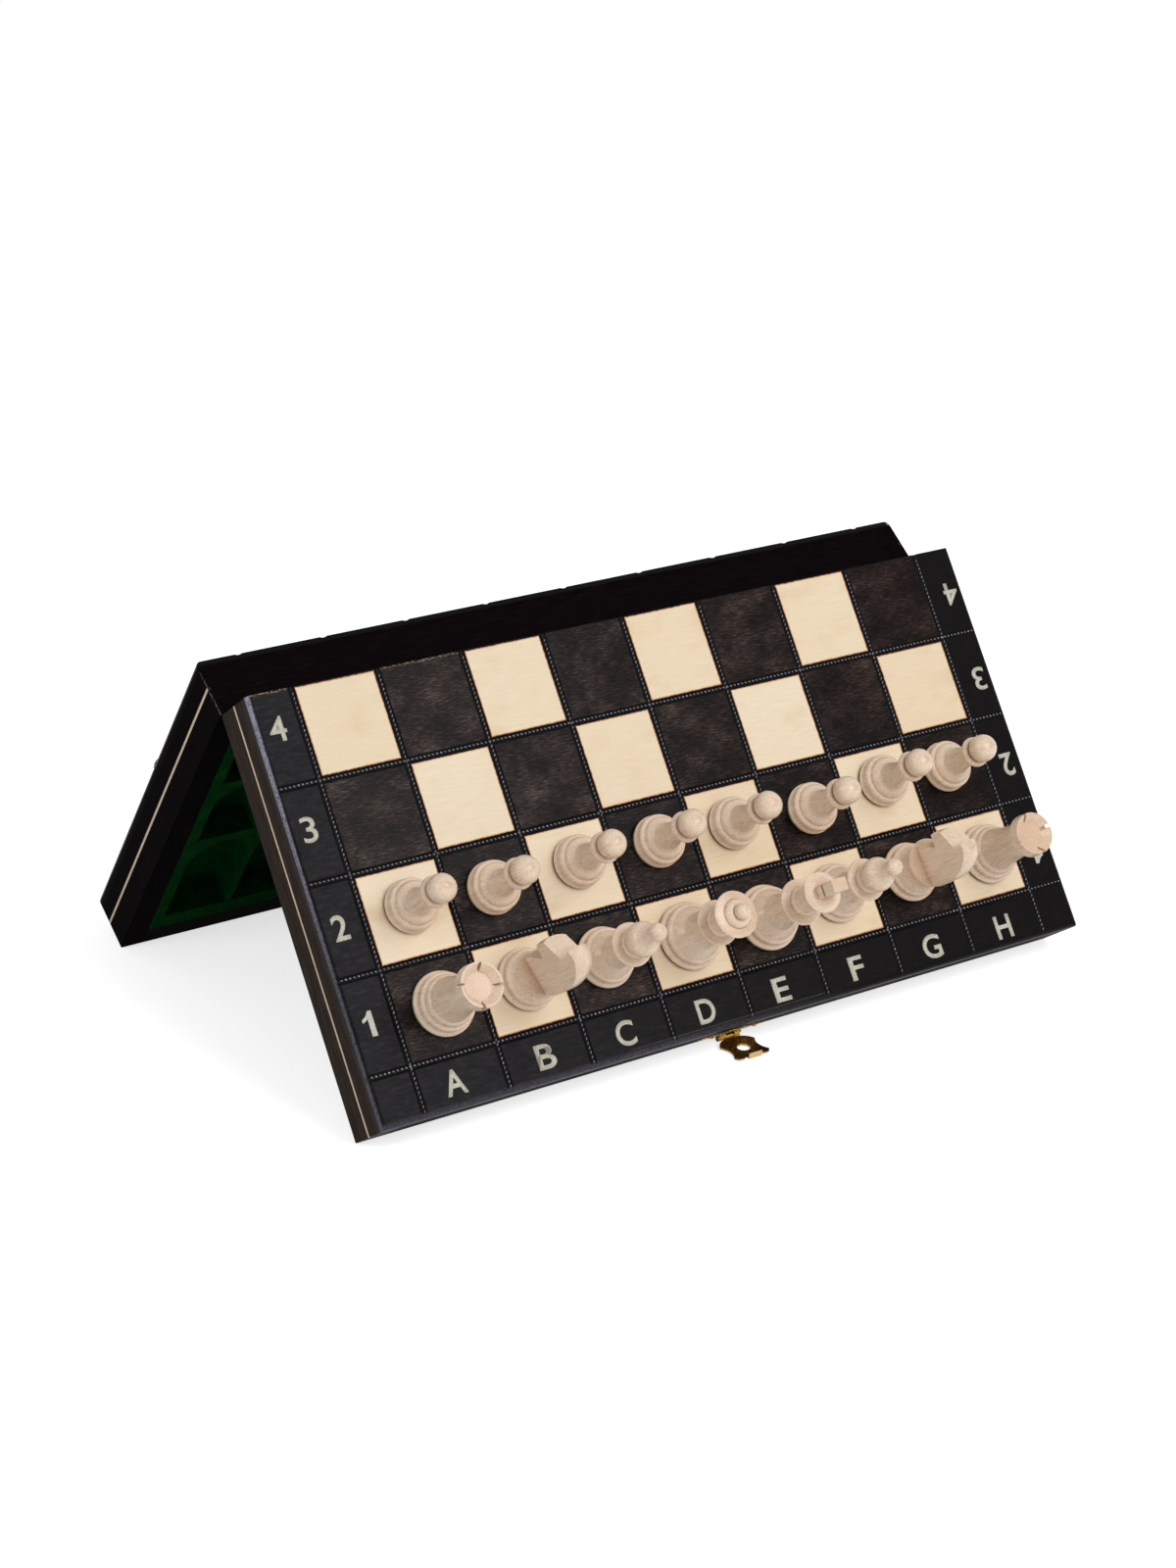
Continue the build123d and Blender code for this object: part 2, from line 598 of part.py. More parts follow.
save(seat_rear(catch_plate), "catch_plate")


def front_rail(nail_places):
    with BuildPart() as rail:
        with Locations((0, -half_width + RAIL / 2, rail_middle)):
            Box(inner_length, RAIL, rail_height)
        fillet(rail.edges().filter_by(Axis.X).group_by(Axis.Y)[0].sort_by(Axis.Z)[0], RIM_ROUND)
        with Locations(*nail_seats(nail_places, PLATE_THICK)):
            add(nail.part, mode=Mode.SUBTRACT)
    return rail


save(seat_near(front_rail(plate_nails)), "near_front_rail")
save(seat_rear(front_rail(catch_nail_places)), "rear_front_rail")


# Chess figures, turned about Z, standing on Z = 0 with a felt pad under them and a magnet
# let into the foot. The knight looks towards +Y.
def foot_outline(base, ring):
    """Bottom, base ring, groove and upper ring; returns where the stem starts."""
    base_top = FELT + BASE_RING
    ring_low = base_top + FOOT_GROOVE
    bottom = Line((0, FELT), (base - FOOT_ROUND, FELT))
    base_side = ThreePointArc(bottom @ 1, (base, FELT + BASE_RING / 2), (base - FOOT_ROUND, base_top))
    groove = Line(base_side @ 1, (ring - FOOT_ROUND, ring_low))
    ring_side = ThreePointArc(
        groove @ 1,
        (ring, ring_low + UPPER_RING * 0.4),
        (ring - 1.5 * FOOT_ROUND, foot_top),
    )
    return ring_side @ 1


def collar_outline(start, neck, collar, level):
    """Thin collar and the bead above it; returns where the bead ends."""
    low = level - COLLAR_UNDER
    flare = ThreePointArc(start, (neck + 1, low - COLLAR_ROUND), (collar - COLLAR_ROUND, low))
    edge = ThreePointArc(flare @ 1, (collar, level), (collar - COLLAR_ROUND, level + COLLAR_ROUND))
    lid = Line(edge @ 1, (neck + 0.8 * BEAD, level + BEAD_LOW))
    bead = ThreePointArc(
        lid @ 1,
        (neck + BEAD, level + BEAD_LOW + BEAD),
        (neck + 0.2 * BEAD, level + BEAD_TOP),
    )
    return bead @ 1


def finish_figure(figure, base):
    """The wooden figure with its foot bored for the magnet, the magnet, and the felt pad."""
    with BuildPart() as wood:
        add(figure.part)
        with Locations((0, 0, FELT)):
            Cylinder(
                MAGNET_RADIUS,
                MAGNET_THICK,
                align=(Align.CENTER, Align.CENTER, Align.MIN),
                mode=Mode.SUBTRACT,
            )
    with BuildPart() as magnet:
        with Locations((0, 0, FELT)):
            Cylinder(MAGNET_RADIUS, MAGNET_THICK, align=(Align.CENTER, Align.CENTER, Align.MIN))
    with BuildPart() as felt:
        Cylinder(base - FOOT_ROUND / 2, FELT, align=(Align.CENTER, Align.CENTER, Align.MIN))
    return {"wood": wood.part.solid(), "magnet": magnet.part.solid(), "felt": felt.part.solid()}


with BuildPart() as pawn:
    ball_centre = PAWN_HEIGHT - PAWN_BALL
    ball_start = ball_centre - sqrt(PAWN_BALL**2 - PAWN_NECK**2)
    collar_low = ball_start - PAWN_COLLAR_THICK
    with BuildSketch(Plane.XZ):
        with BuildLine():
            stem = foot_outline(PAWN_BASE, PAWN_RING)
            shoulder = ThreePointArc(
                stem,
                (PAWN_RING * 0.8, foot_top + 1.5),
                (PAWN_STEM * 1.06, PAWN_STEM_AT),
            )
            step = Line(shoulder @ 1, (PAWN_STEM, PAWN_STEM_AT + 0.2))
            neck = ThreePointArc(step @ 1, (PAWN_NECK + 0.7, foot_top + 6.5), (PAWN_NECK, collar_low))
            collar = ThreePointArc(
                neck @ 1,
                (PAWN_COLLAR, (collar_low + ball_start) / 2),
                (PAWN_NECK, ball_start),
            )
            ball = ThreePointArc(collar @ 1, (PAWN_BALL, ball_centre), (0, PAWN_HEIGHT))
            Line(ball @ 1, (0, FELT))
        make_face()
    revolve(axis=Axis.Z)

with BuildPart() as rook:
    cup_floor = ROOK_HEIGHT - ROOK_CUP_DEPTH
    with BuildSketch(Plane.XZ):
        with BuildLine():
            stem = foot_outline(ROOK_BASE, ROOK_RING)
            shoulder = ThreePointArc(
                stem,
                (ROOK_RING * 0.86, foot_top + 1.2),
                (ROOK_RING * 0.78, foot_top + 2.2),
            )
            column = ThreePointArc(
                shoulder @ 1,
                (ROOK_WAIST + 0.75, foot_top + 7.5),
                (ROOK_WAIST, ROOK_RIM_AT - 3.2),
            )
            flare = ThreePointArc(
                column @ 1,
                (ROOK_WAIST + 0.6, ROOK_RIM_AT - 1.3),
                (ROOK_RIM, ROOK_RIM_AT),
            )
            wall = Polyline(
                flare @ 1,
                (ROOK_RIM, ROOK_RIM_AT + 0.4),
                (ROOK_CROWN, ROOK_HEIGHT),
                (ROOK_CUP, ROOK_HEIGHT),
            )
            cup = Polyline(wall @ 1, (ROOK_CUP_FLOOR, cup_floor), (0, cup_floor))
            Line(cup @ 1, (0, FELT))
        make_face()
    revolve(axis=Axis.Z)
    for turn in (0, 90):
        with Locations(Location((0, 0, ROOK_HEIGHT), (0, 0, turn))):
            Box(3 * ROOK_CROWN, ROOK_SLOT, 2 * (ROOK_CUP_DEPTH - 0.2), mode=Mode.SUBTRACT)

with BuildPart() as bishop:
    ball_centre = BISHOP_HEIGHT - BISHOP_BALL
    ball_neck = BISHOP_BALL * 0.62
    ball_start = ball_centre - sqrt(BISHOP_BALL**2 - ball_neck**2)
    neck_end = (BISHOP_NECK, BISHOP_COLLAR_AT - NECK_STOP)
    head_low = BISHOP_COLLAR_AT + BEAD_TOP + 0.4
    with BuildSketch(Plane.XZ):
        with BuildLine():
            stem = foot_outline(BISHOP_BASE, BISHOP_RING)
            shoulder = ThreePointArc(
                stem,
                (BISHOP_RING * 0.75, foot_top + 1.7),
                (BISHOP_RING * 0.6, foot_top + 3.2),
            )
            neck = ThreePointArc(shoulder @ 1, (BISHOP_NECK + 0.4, foot_top + 7.5), neck_end)
            collar = collar_outline(neck @ 1, BISHOP_NECK, BISHOP_COLLAR, BISHOP_COLLAR_AT)
            gap = Line(collar, (BISHOP_NECK, head_low))
            head = ThreePointArc(
                gap @ 1,
                (BISHOP_HEAD, head_low + 3.4),
                (BISHOP_HEAD * 0.72, head_low + 7.4),
            )
            point = ThreePointArc(
                head @ 1,
                (BISHOP_HEAD * 0.46, head_low + 9.7),
                (ball_neck, ball_start),
            )
            ball = ThreePointArc(point @ 1, (BISHOP_BALL, ball_centre), (0, BISHOP_HEIGHT))
            Line(ball @ 1, (0, FELT))
        make_face()
    revolve(axis=Axis.Z)

with BuildPart() as queen:
    ball_centre = QUEEN_HEIGHT - QUEEN_BALL
    ball_neck = QUEEN_BALL * 0.9
    ball_start = ball_centre - sqrt(QUEEN_BALL**2 - ball_neck**2)
    neck_end = (QUEEN_NECK, QUEEN_COLLAR_AT - NECK_STOP)
    dome_middle = ((QUEEN_DOME + ball_neck) / 2 + 0.5, (QUEEN_CROWN_AT + ball_start) / 2 + 0.8)
    with BuildSketch(Plane.XZ):
        with BuildLine():
            stem = foot_outline(QUEEN_BASE, QUEEN_RING)
            shoulder = ThreePointArc(
                stem,
                (QUEEN_RING * 0.76, foot_top + 1.8),
                (QUEEN_RING * 0.62, foot_top + 3.4),
            )
            neck = ThreePointArc(shoulder @ 1, (QUEEN_NECK + 0.5, foot_top + 7.5), neck_end)
            collar = collar_outline(neck @ 1, QUEEN_NECK, QUEEN_COLLAR, QUEEN_COLLAR_AT)
            crown = ThreePointArc(
                collar,
                (QUEEN_NECK + 1.3, QUEEN_CROWN_AT - 4.2),
                (QUEEN_CROWN, QUEEN_CROWN_AT),
            )
            rim = Polyline(
                crown @ 1,
                (QUEEN_CROWN - 0.5, QUEEN_CROWN_AT + 0.5),
                (QUEEN_DOME, QUEEN_CROWN_AT + 0.9),
                (QUEEN_DOME - 0.2, QUEEN_CROWN_AT + 0.7),
            )
            dome = ThreePointArc(rim @ 1, dome_middle, (ball_neck, ball_start))
            ball = ThreePointArc(dome @ 1, (QUEEN_BALL, ball_centre), (0, QUEEN_HEIGHT))
            Line(ball @ 1, (0, FELT))
        make_face()
    revolve(axis=Axis.Z)

with BuildPart() as king:
    cross_low = KING_CROWN_AT + KING_DOME
    cross_height = KING_HEIGHT - cross_low
    neck_end = (KING_NECK, KING_COLLAR_AT - NECK_STOP)
    with BuildSketch(Plane.XZ):
        with BuildLine():
            stem = foot_outline(KING_BASE, KING_RING)
            shoulder = ThreePointArc(
                stem,
                (KING_RING * 0.77, foot_top + 1.9),
                (KING_RING * 0.62, foot_top + 3.6),
            )
            neck = ThreePointArc(shoulder @ 1, (KING_NECK + 0.7, foot_top + 9), neck_end)
            collar = collar_outline(neck @ 1, KING_NECK, KING_COLLAR, KING_COLLAR_AT)
            crown = ThreePointArc(
                collar,
                (KING_NECK + 1, KING_CROWN_AT - 5.4),
                (KING_CROWN, KING_CROWN_AT),
            )
            dome_end = (KING_CROSS_THICK * 0.7, cross_low)
            dome = ThreePointArc(
                crown @ 1,
                (KING_CROWN * 0.8, KING_CROWN_AT + 0.6 * KING_DOME),
                dome_end,
            )
            Polyline(dome @ 1, (0, cross_low), (0, FELT))
        make_face()
    revolve(axis=Axis.Z)
    with Locations((0, 0, cross_low - KING_DOME / 2)):
        Box(
            KING_CROSS_WIDTH,
            KING_CROSS_THICK,
            cross_height + KING_DOME / 2,
            align=(Align.CENTER, Align.CENTER, Align.MIN),
        )
    with BuildSketch(Plane.XY.offset(cross_low + KING_CROSS_FOOT)):
        Rectangle(2 * KING_CROSS_WIDTH, 2 * KING_CROSS_WIDTH)
        Rectangle(KING_CROSS_NECK, KING_CROSS_NECK, mode=Mode.SUBTRACT)
    extrude(amount=KING_CROSS_CUT, mode=Mode.SUBTRACT)

with BuildPart() as turned_knight:
    with BuildSketch(Plane.XZ):
        with BuildLine():
            stem = foot_outline(KNIGHT_BASE, KNIGHT_RING)
            neck = ThreePointArc(
                stem,
                (KNIGHT_NECK + 0.4, foot_top + 1.9),
                (KNIGHT_NECK, KNIGHT_NECK_AT),
            )
            chest = ThreePointArc(
                neck @ 1,
                (KNIGHT_HEAD * 0.92, KNIGHT_NECK_AT + 3),
                (KNIGHT_HEAD, KNIGHT_HEAD_AT),
            )
            side = Line(chest @ 1, (KNIGHT_HEAD, KNIGHT_DOME_AT))
            dome = ThreePointArc(
                side @ 1,
                (KNIGHT_HEAD * 0.82, KNIGHT_TEMPLE_AT),
                (KNIGHT_CROWN, KNIGHT_HEIGHT),
            )
            Polyline(dome @ 1, (0, KNIGHT_HEIGHT), (0, FELT))
        make_face()
    revolve(axis=Axis.Z)


def beyond(start, through, forward):
    """The point at the given reach forward on the line through two points."""
    share = (forward - start[0]) / (through[0] - start[0])
    return (forward, start[1] + share * (through[1] - start[1]))


def above(start, through, height):
    """The point at the given height on the line through two points."""
    share = (height - start[1]) / (through[1] - start[1])
    return (start[0] + share * (through[0] - start[0]), height)


def carved_knight(drop):
    """The turned head with two flat cheeks, cut in under the jaw and over the nose."""
    reach = 2 * KNIGHT_HEAD
    over = KNIGHT_HEIGHT + drop + 1
    with BuildPart() as carved:
        add(turned_knight.part)
        with Locations((-KNIGHT_LEFT, 0, KNIGHT_LEDGE - drop)):
            Box(reach, 2 * reach, over, align=(Align.MAX, Align.CENTER, Align.MIN), mode=Mode.SUBTRACT)
        with Locations((KNIGHT_RIGHT, 0, KNIGHT_LEDGE - drop)):
            Box(reach, 2 * reach, over, align=(Align.MIN, Align.CENTER, Align.MIN), mode=Mode.SUBTRACT)
        with BuildSketch(Plane.YZ.offset(-reach)):
            with Locations((0, -drop)):
                Polygon(
                    (reach, KNIGHT_LEDGE),
                    (KNIGHT_CHEST, KNIGHT_LEDGE),
                    KNIGHT_THROAT,
                    beyond(KNIGHT_THROAT, KNIGHT_JAW, reach),
                    align=None,
                )
                Polygon(
                    KNIGHT_BROW,
                    beyond(KNIGHT_BROW, KNIGHT_MUZZLE, reach),
                    (reach, over),
                    above(KNIGHT_BROW, KNIGHT_EAR, over),
                    align=None,
                )
        extrude(amount=2 * reach, mode=Mode.SUBTRACT)
    return carved


kinds = {
    "pawn": finish_figure(pawn, PAWN_BASE),
    "rook": finish_figure(rook, ROOK_BASE),
    "knight_b": finish_figure(carved_knight(KNIGHT_LOWER_CUT), KNIGHT_BASE),
    "knight_g": finish_figure(carved_knight(0), KNIGHT_BASE),
    "bishop": finish_figure(bishop, BISHOP_BASE),
    "queen": finish_figure(queen, QUEEN_BASE),
    "king": finish_figure(king, KING_BASE),
}
back_rank = ["rook", "knight", "bishop", "queen", "king", "bishop", "knight", "rook"]


def stand(shape, file_index, ranks_from_spine, drift, turn):
    """The figure's solids, each by itself, on the near playing face."""
    x = (file_index - 3.5) * SQUARE + drift[0]
    y = -ranks_from_spine * SQUARE + drift[1]
    place = near_face.location * Location((x, y, 0), (0, 0, turn))
    return {role: solid.moved(place) for role, solid in kinds[shape].items()}


def save_figure(solids, name):
    for role, solid in solids.items():
        solid.label = f"{name}_{role}"
    export_step(Compound(label=name, children=list(solids.values())), f"parts/{name}.step")


def save_white(solids, name):
    save_figure(solids, f"white_{name}")


def save_black(solids, name):
    mirrored = {role: mirror(solid, about=Plane.XZ).solid() for role, solid in solids.items()}
    save_figure(mirrored, f"black_{name}")


for i, file in enumerate("abcdefgh"):
    kind = back_rank[i]
    name = kind if kind in ("queen", "king") else f"{kind}_{file}"
    shape = name if kind == "knight" else kind
    save_white(stand("pawn", i, 2.5, PAWN_DRIFT[i], 0), f"pawn_{file}")
    save_white(stand(shape, i, 3.5, PIECE_DRIFT[i], PIECE_TURN[i]), name)
    save_black(stand("pawn", i, 2.5, BLACK_PAWN_DRIFT[i], 0), f"pawn_{file}")
    save_black(stand(shape, i, 3.5, BLACK_DRIFT[i], BLACK_TURN[i]), name)

print("hinge line height", round(near_face.from_local_coords(Vector(0, axis_y, axis_z)).Z, 2))
print("latch pin height", round(flap_pin.Z, 2), "flap dips", round(degrees(flap_dip), 2))
print("board", board_length, "by", 2 * half_width + SPINE_GAP, "open flat")
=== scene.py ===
from math import cos, pi, radians, sin

import bpy
from mathutils import Matrix, Vector


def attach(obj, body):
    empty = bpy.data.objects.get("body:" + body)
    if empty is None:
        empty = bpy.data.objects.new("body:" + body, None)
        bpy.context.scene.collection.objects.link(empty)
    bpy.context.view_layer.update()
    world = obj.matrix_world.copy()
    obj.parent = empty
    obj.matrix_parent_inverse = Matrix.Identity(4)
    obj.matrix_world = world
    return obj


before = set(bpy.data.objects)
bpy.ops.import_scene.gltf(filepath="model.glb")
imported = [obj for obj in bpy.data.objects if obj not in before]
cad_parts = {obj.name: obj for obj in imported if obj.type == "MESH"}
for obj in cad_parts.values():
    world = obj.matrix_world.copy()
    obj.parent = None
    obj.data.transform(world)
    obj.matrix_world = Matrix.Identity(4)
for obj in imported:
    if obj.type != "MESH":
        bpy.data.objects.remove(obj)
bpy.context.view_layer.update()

MM = 0.001

# Sizes of the board, mm, for the patterns of its materials
SQUARE_MM = 31.0
SIDE_MM = 139.5                 # middle of the board to its ends
FRONT_MM = 140.5                # spine edge to the front edge of a half
GROOVE_HALF_MM = 1.0            # half the width of a blackened groove
SPINE_WALL_MM = -0.2            # along Y, what lies past it is on the spine wall
FELT_MM = 0.6                   # thickness of the pad under a figure

# Sizes of the board, metres
SQUARE = SQUARE_MM * MM
SIDE_EDGE = SIDE_MM * MM
FRONT_EDGE = FRONT_MM * MM
GROOVE_DEPTH = 0.4 * MM
LEAN = radians(35.5)            # each half from upright
CASE_DEPTH = 21 * MM
HINGE_BACK = 0.1 * MM           # spine edge to the hinge line
HINGE_DROP = 21.15 * MM         # playing face to the hinge line
RIM_ROUND = 0.4 * MM            # on the rim that the open board stands on

# The flat frame of a half: X along the board, Y towards the spine edge, Z out of the playing
# face, with the origin on the spine edge. Either player sees their own half this way up.
face_back = HINGE_BACK * sin(LEAN) + HINGE_DROP * cos(LEAN)
face_height = FRONT_EDGE * cos(LEAN) + CASE_DEPTH * sin(LEAN) - RIM_ROUND * (sin(LEAN) + cos(LEAN) - 1)
near_flat = Matrix((
    (1, 0, 0, 0),
    (0, sin(LEAN), -cos(LEAN), -face_back),
    (0, cos(LEAN), sin(LEAN), face_height),
    (0, 0, 0, 1),
))
FLAT = {"near": near_flat, "rear": Matrix.Rotation(pi, 4, "Z") @ near_flat}


# Materials

def linear(code):
    """An sRGB hex colour as the linear RGBA that shaders take."""
    values = [int(code[i:i + 2], 16) / 255 for i in (1, 3, 5)]
    return [v / 12.92 if v <= 0.04045 else ((v + 0.055) / 1.055) ** 2.4 for v in values] + [1.0]


def add(tree, kind, links=None, out=0, stops=None, **settings):
    """Adds a node with its settings, links and ramp stops, and gives back an output or several.

    A link's value is a socket to join or a constant to set.
    """
    made = tree.nodes.new(kind)
    for name, value in settings.items():
        setattr(made, name, value)
    for name, value in (links or {}).items():
        socket = made.inputs[name]
        if isinstance(value, bpy.types.NodeSocket):
            tree.links.new(value, socket)
        else:
            socket.default_value = linear(value) if isinstance(value, str) else value
    if stops:
        elements = made.color_ramp.elements
        while len(elements) < len(stops):
            elements.new(0.5)
        for element, (place, colour) in zip(elements, stops):
            element.position = place
            element.color = linear(colour)
    if not made.outputs:
        return None
    return [made.outputs[index] for index in out] if isinstance(out, tuple) else made.outputs[out]


def new_material(name):
    made = bpy.data.materials.new(name)
    made.use_nodes = True
    made.node_tree.nodes.clear()
    return made, made.node_tree


def flat_place(tree, half, sizes, origin=(0, 0, 0)):
    """A point's place in a half's flat frame, from an origin in mm, in units of the given sizes in mm."""
    return add(
        tree, "ShaderNodeMapping",
        {
            "Vector": add(tree, "ShaderNodeTexCoord", out="Object"),
            "Location": FLAT[half] @ (Vector(origin) * MM),
            "Rotation": FLAT[half].to_euler(),
            "Scale": Vector(sizes) * MM,
        },
        vector_type="TEXTURE",
    )


def grains(tree, half, sizes, detail=3.0, roughness=0.6):
    """Cloudy pattern in a half's flat frame, whose grains have the given sizes in mm."""
    return add(
        tree, "ShaderNodeTexNoise",
        {
            "Vector": flat_place(tree, half, sizes), "Scale": 1.0,
            "Detail": detail, "Roughness": roughness,
        },
    )


# Dyes of the rails and of the panel's walls: the side rails are brown on the near half and black on the
# rear half
BROWN_DYE = [(0.3, "#19110d"), (0.5, "#2a211b"), (0.62, "#362b24"), (0.8, "#4b3e34")]
BLACK_DYE = [(0.3, "#030202"), (0.55, "#070405"), (0.8, "#0f0b0c")]
SPINE_DYE = [(0.3, "#080506"), (0.55, "#100b0d"), (0.8, "#1b1517")]
SIDE_DYE = {"near": BROWN_DYE, "rear": BLACK_DYE}
SIDE_SHEEN = {"near": 0.02, "rear": 0.003}
BLACK_SHEEN = 0.005

# Where the near half's dye is worn: stretches along X, mm
CHIPPED = ((-138.5, -125.5), (-92.0, -63.0))    # bare flakes along the spine edge
RUBBED = (-48.0, 30.0)                          # thin line along the front edge


def veneer(half):
    """Birch veneer, left bare on the pale squares and dyed black elsewhere, waxed to a low satin.

    The grooves were rolled in hot, so the pale squares have thin red-brown scorched edges. The
    dyed wood shows its fine curly grain and runs darker and redder to the right, which paints in
    a sheen on its left part; painted bluish highlights run along the rounded left and front edges.
    """
    made, tree = new_material("dyed_birch_veneer_" + half)
    x, y, z = add(tree, "ShaderNodeSeparateXYZ", {0: flat_place(tree, half, (1, 1, 1))}, out=(0, 1, 2))
    # distance to the nearest groove line, wavering a little
    to_file_line = add(tree, "ShaderNodeMath", {0: x, 1: SQUARE_MM / 2}, operation="PINGPONG")
    to_rank_line = add(tree, "ShaderNodeMath", {0: y, 1: SQUARE_MM / 2}, operation="PINGPONG")
    # the spine edge has no groove, only a dark line a quarter millimetre wide
    last_rank = add(tree, "ShaderNodeMath", {0: y, 1: -SQUARE_MM / 2}, operation="GREATER_THAN")
    to_rank_line = add(
        tree, "ShaderNodeMath", {0: last_rank, 1: 0.9, 2: to_rank_line}, operation="MULTIPLY_ADD")
    nearest = add(tree, "ShaderNodeMath", {0: to_file_line, 1: to_rank_line}, operation="MINIMUM")
    wobble = grains(tree, half, (1.2, 1.2, 1.2), detail=2.0)
    wobble = add(tree, "ShaderNodeMapRange", {"Value": wobble, "To Min": -0.4, "To Max": 0.1})
    edge = add(tree, "ShaderNodeMath", {0: nearest, 1: wobble})

    # dyed squares: curly grain 0.4 mm wide along the ranks, in patches as large as a thumb
    grain = grains(tree, half, (3.2, 0.36, 0.36), detail=4.0, roughness=0.72)
    patches = grains(tree, half, (16.0, 9.0, 9.0), detail=2.0)
    streak = add(tree, "ShaderNodeMath", {0: patches, 1: 0.45, 2: grain}, operation="MULTIPLY_ADD")
    dark = add(
        tree, "ShaderNodeValToRGB", {"Fac": streak},
        stops=[
            (0.52, "#050303"), (0.65, "#120d0c"), (0.76, "#2b2321"), (0.86, "#4c413b"),
            (0.97, "#7a6a5f"),
        ],
    )
    # painted sheen: the dyed squares are lighter to the left, darker and redder to the right
    sheen_fades_rightward = add(tree, "ShaderNodeMapRange", {"Value": x, "From Min": -80.0, "From Max": 125.0})
    dark = add(
        tree, "ShaderNodeMix", {0: sheen_fades_rightward, 6: dark, 7: "#cbb4b0"},
        out=2, data_type="RGBA", blend_type="MULTIPLY",
    )

    # bare squares: each a little different, with faint clouds and grain half a millimetre wide
    fine = grains(tree, half, (9.0, 0.55, 0.55))
    square = add(
        tree, "ShaderNodeVectorMath",
        {0: flat_place(tree, half, (SQUARE_MM, SQUARE_MM, SQUARE_MM), (0, 0, -SQUARE_MM / 2))},
        operation="FLOOR",
    )
    tint = add(tree, "ShaderNodeTexWhiteNoise", {"Vector": square}, noise_dimensions="3D")
    tone = add(tree, "ShaderNodeMath", {0: tint, 1: 0.3, 2: fine}, operation="MULTIPLY_ADD")
    pale = add(
        tree, "ShaderNodeValToRGB", {"Fac": tone},
        stops=[(0.35, "#ecd6b6"), (0.62, "#f2dec0"), (0.9, "#f6e6cc")],
    )
    cloud = grains(tree, half, (22.0, 12.0, 12.0), detail=2.0)
    cloud = add(
        tree, "ShaderNodeMapRange", {"Value": cloud, "From Min": 0.5, "From Max": 0.8},
        interpolation_type="SMOOTHSTEP",
    )
    pale = add(tree, "ShaderNodeMix", {0: cloud, 6: pale, 7: "#e8d0ab"}, out=2, data_type="RGBA")
    # scorched from the groove's edge outwards, the ramp being 3.3 mm wide
    scorch = add(
        tree, "ShaderNodeValToRGB",
        {"Fac": add(tree, "ShaderNodeMath", {0: edge, 1: 0.3}, operation="MULTIPLY")},
        stops=[(0.30, "#100b0a"), (0.345, "#5a2f22"), (0.39, "#dcb293"), (0.5, "#ffffff")],
    )
    pale = add(
        tree, "ShaderNodeMix", {0: 1.0, 6: pale, 7: scorch},
        out=2, data_type="RGBA", blend_type="MULTIPLY",
    )

    # border: dyed like the squares, with a painted sheen that makes it greyer to the left
    border_grain = grains(tree, half, (5.0, 1.2, 1.2))
    border_with_sheen = add(
        tree, "ShaderNodeValToRGB", {"Fac": border_grain},
        stops=[(0.3, "#0d0b0c"), (0.55, "#19171a"), (0.8, "#2e2b30")],
    )
    border_without_sheen = add(
        tree, "ShaderNodeValToRGB", {"Fac": border_grain},
        stops=[(0.3, "#040202"), (0.55, "#080505"), (0.8, "#150e0e")],
    )
    sheen_fades_rightward = add(
        tree, "ShaderNodeMapRange", {"Value": x, "From Min": -135.0, "From Max": 80.0},
        interpolation_type="SMOOTHSTEP",
    )
    border = add(
        tree, "ShaderNodeMix", {0: sheen_fades_rightward, 6: border_with_sheen, 7: border_without_sheen}, out=2, data_type="RGBA")
    checks = add(
        tree, "ShaderNodeTexChecker",
        {
            "Vector": flat_place(tree, half, (SQUARE_MM, SQUARE_MM, SQUARE_MM), (0, 0, -SQUARE_MM / 2)),
            "Scale": 1.0,
            "Color1": (1, 1, 1, 1),
            "Color2": (0, 0, 0, 1),
        },
        out="Fac",
    )
    face = add(tree, "ShaderNodeMix", {0: checks, 6: dark, 7: pale}, out=2, data_type="RGBA")
    across = add(tree, "ShaderNodeMath", {0: x}, operation="ABSOLUTE")
    past_side = add(tree, "ShaderNodeMath", {0: across, 1: 4 * SQUARE_MM}, operation="GREATER_THAN")
    past_front = add(tree, "ShaderNodeMath", {0: y, 1: -4 * SQUARE_MM}, operation="LESS_THAN")
    outside = add(tree, "ShaderNodeMath", {0: past_side, 1: past_front}, operation="MAXIMUM")
    face = add(tree, "ShaderNodeMix", {0: outside, 6: face, 7: border}, out=2, data_type="RGBA")
    in_groove = add(
        tree, "ShaderNodeMapRange",
        {
            "Value": edge, "From Min": GROOVE_HALF_MM - 0.15, "From Max": GROOVE_HALF_MM + 0.15,
            "To Min": 1.0, "To Max": 0.0,
        },
        interpolation_type="SMOOTHSTEP",
    )
    face = add(tree, "ShaderNodeMix", {0: in_groove, 6: face, 7: "#040303"}, out=2, data_type="RGBA")
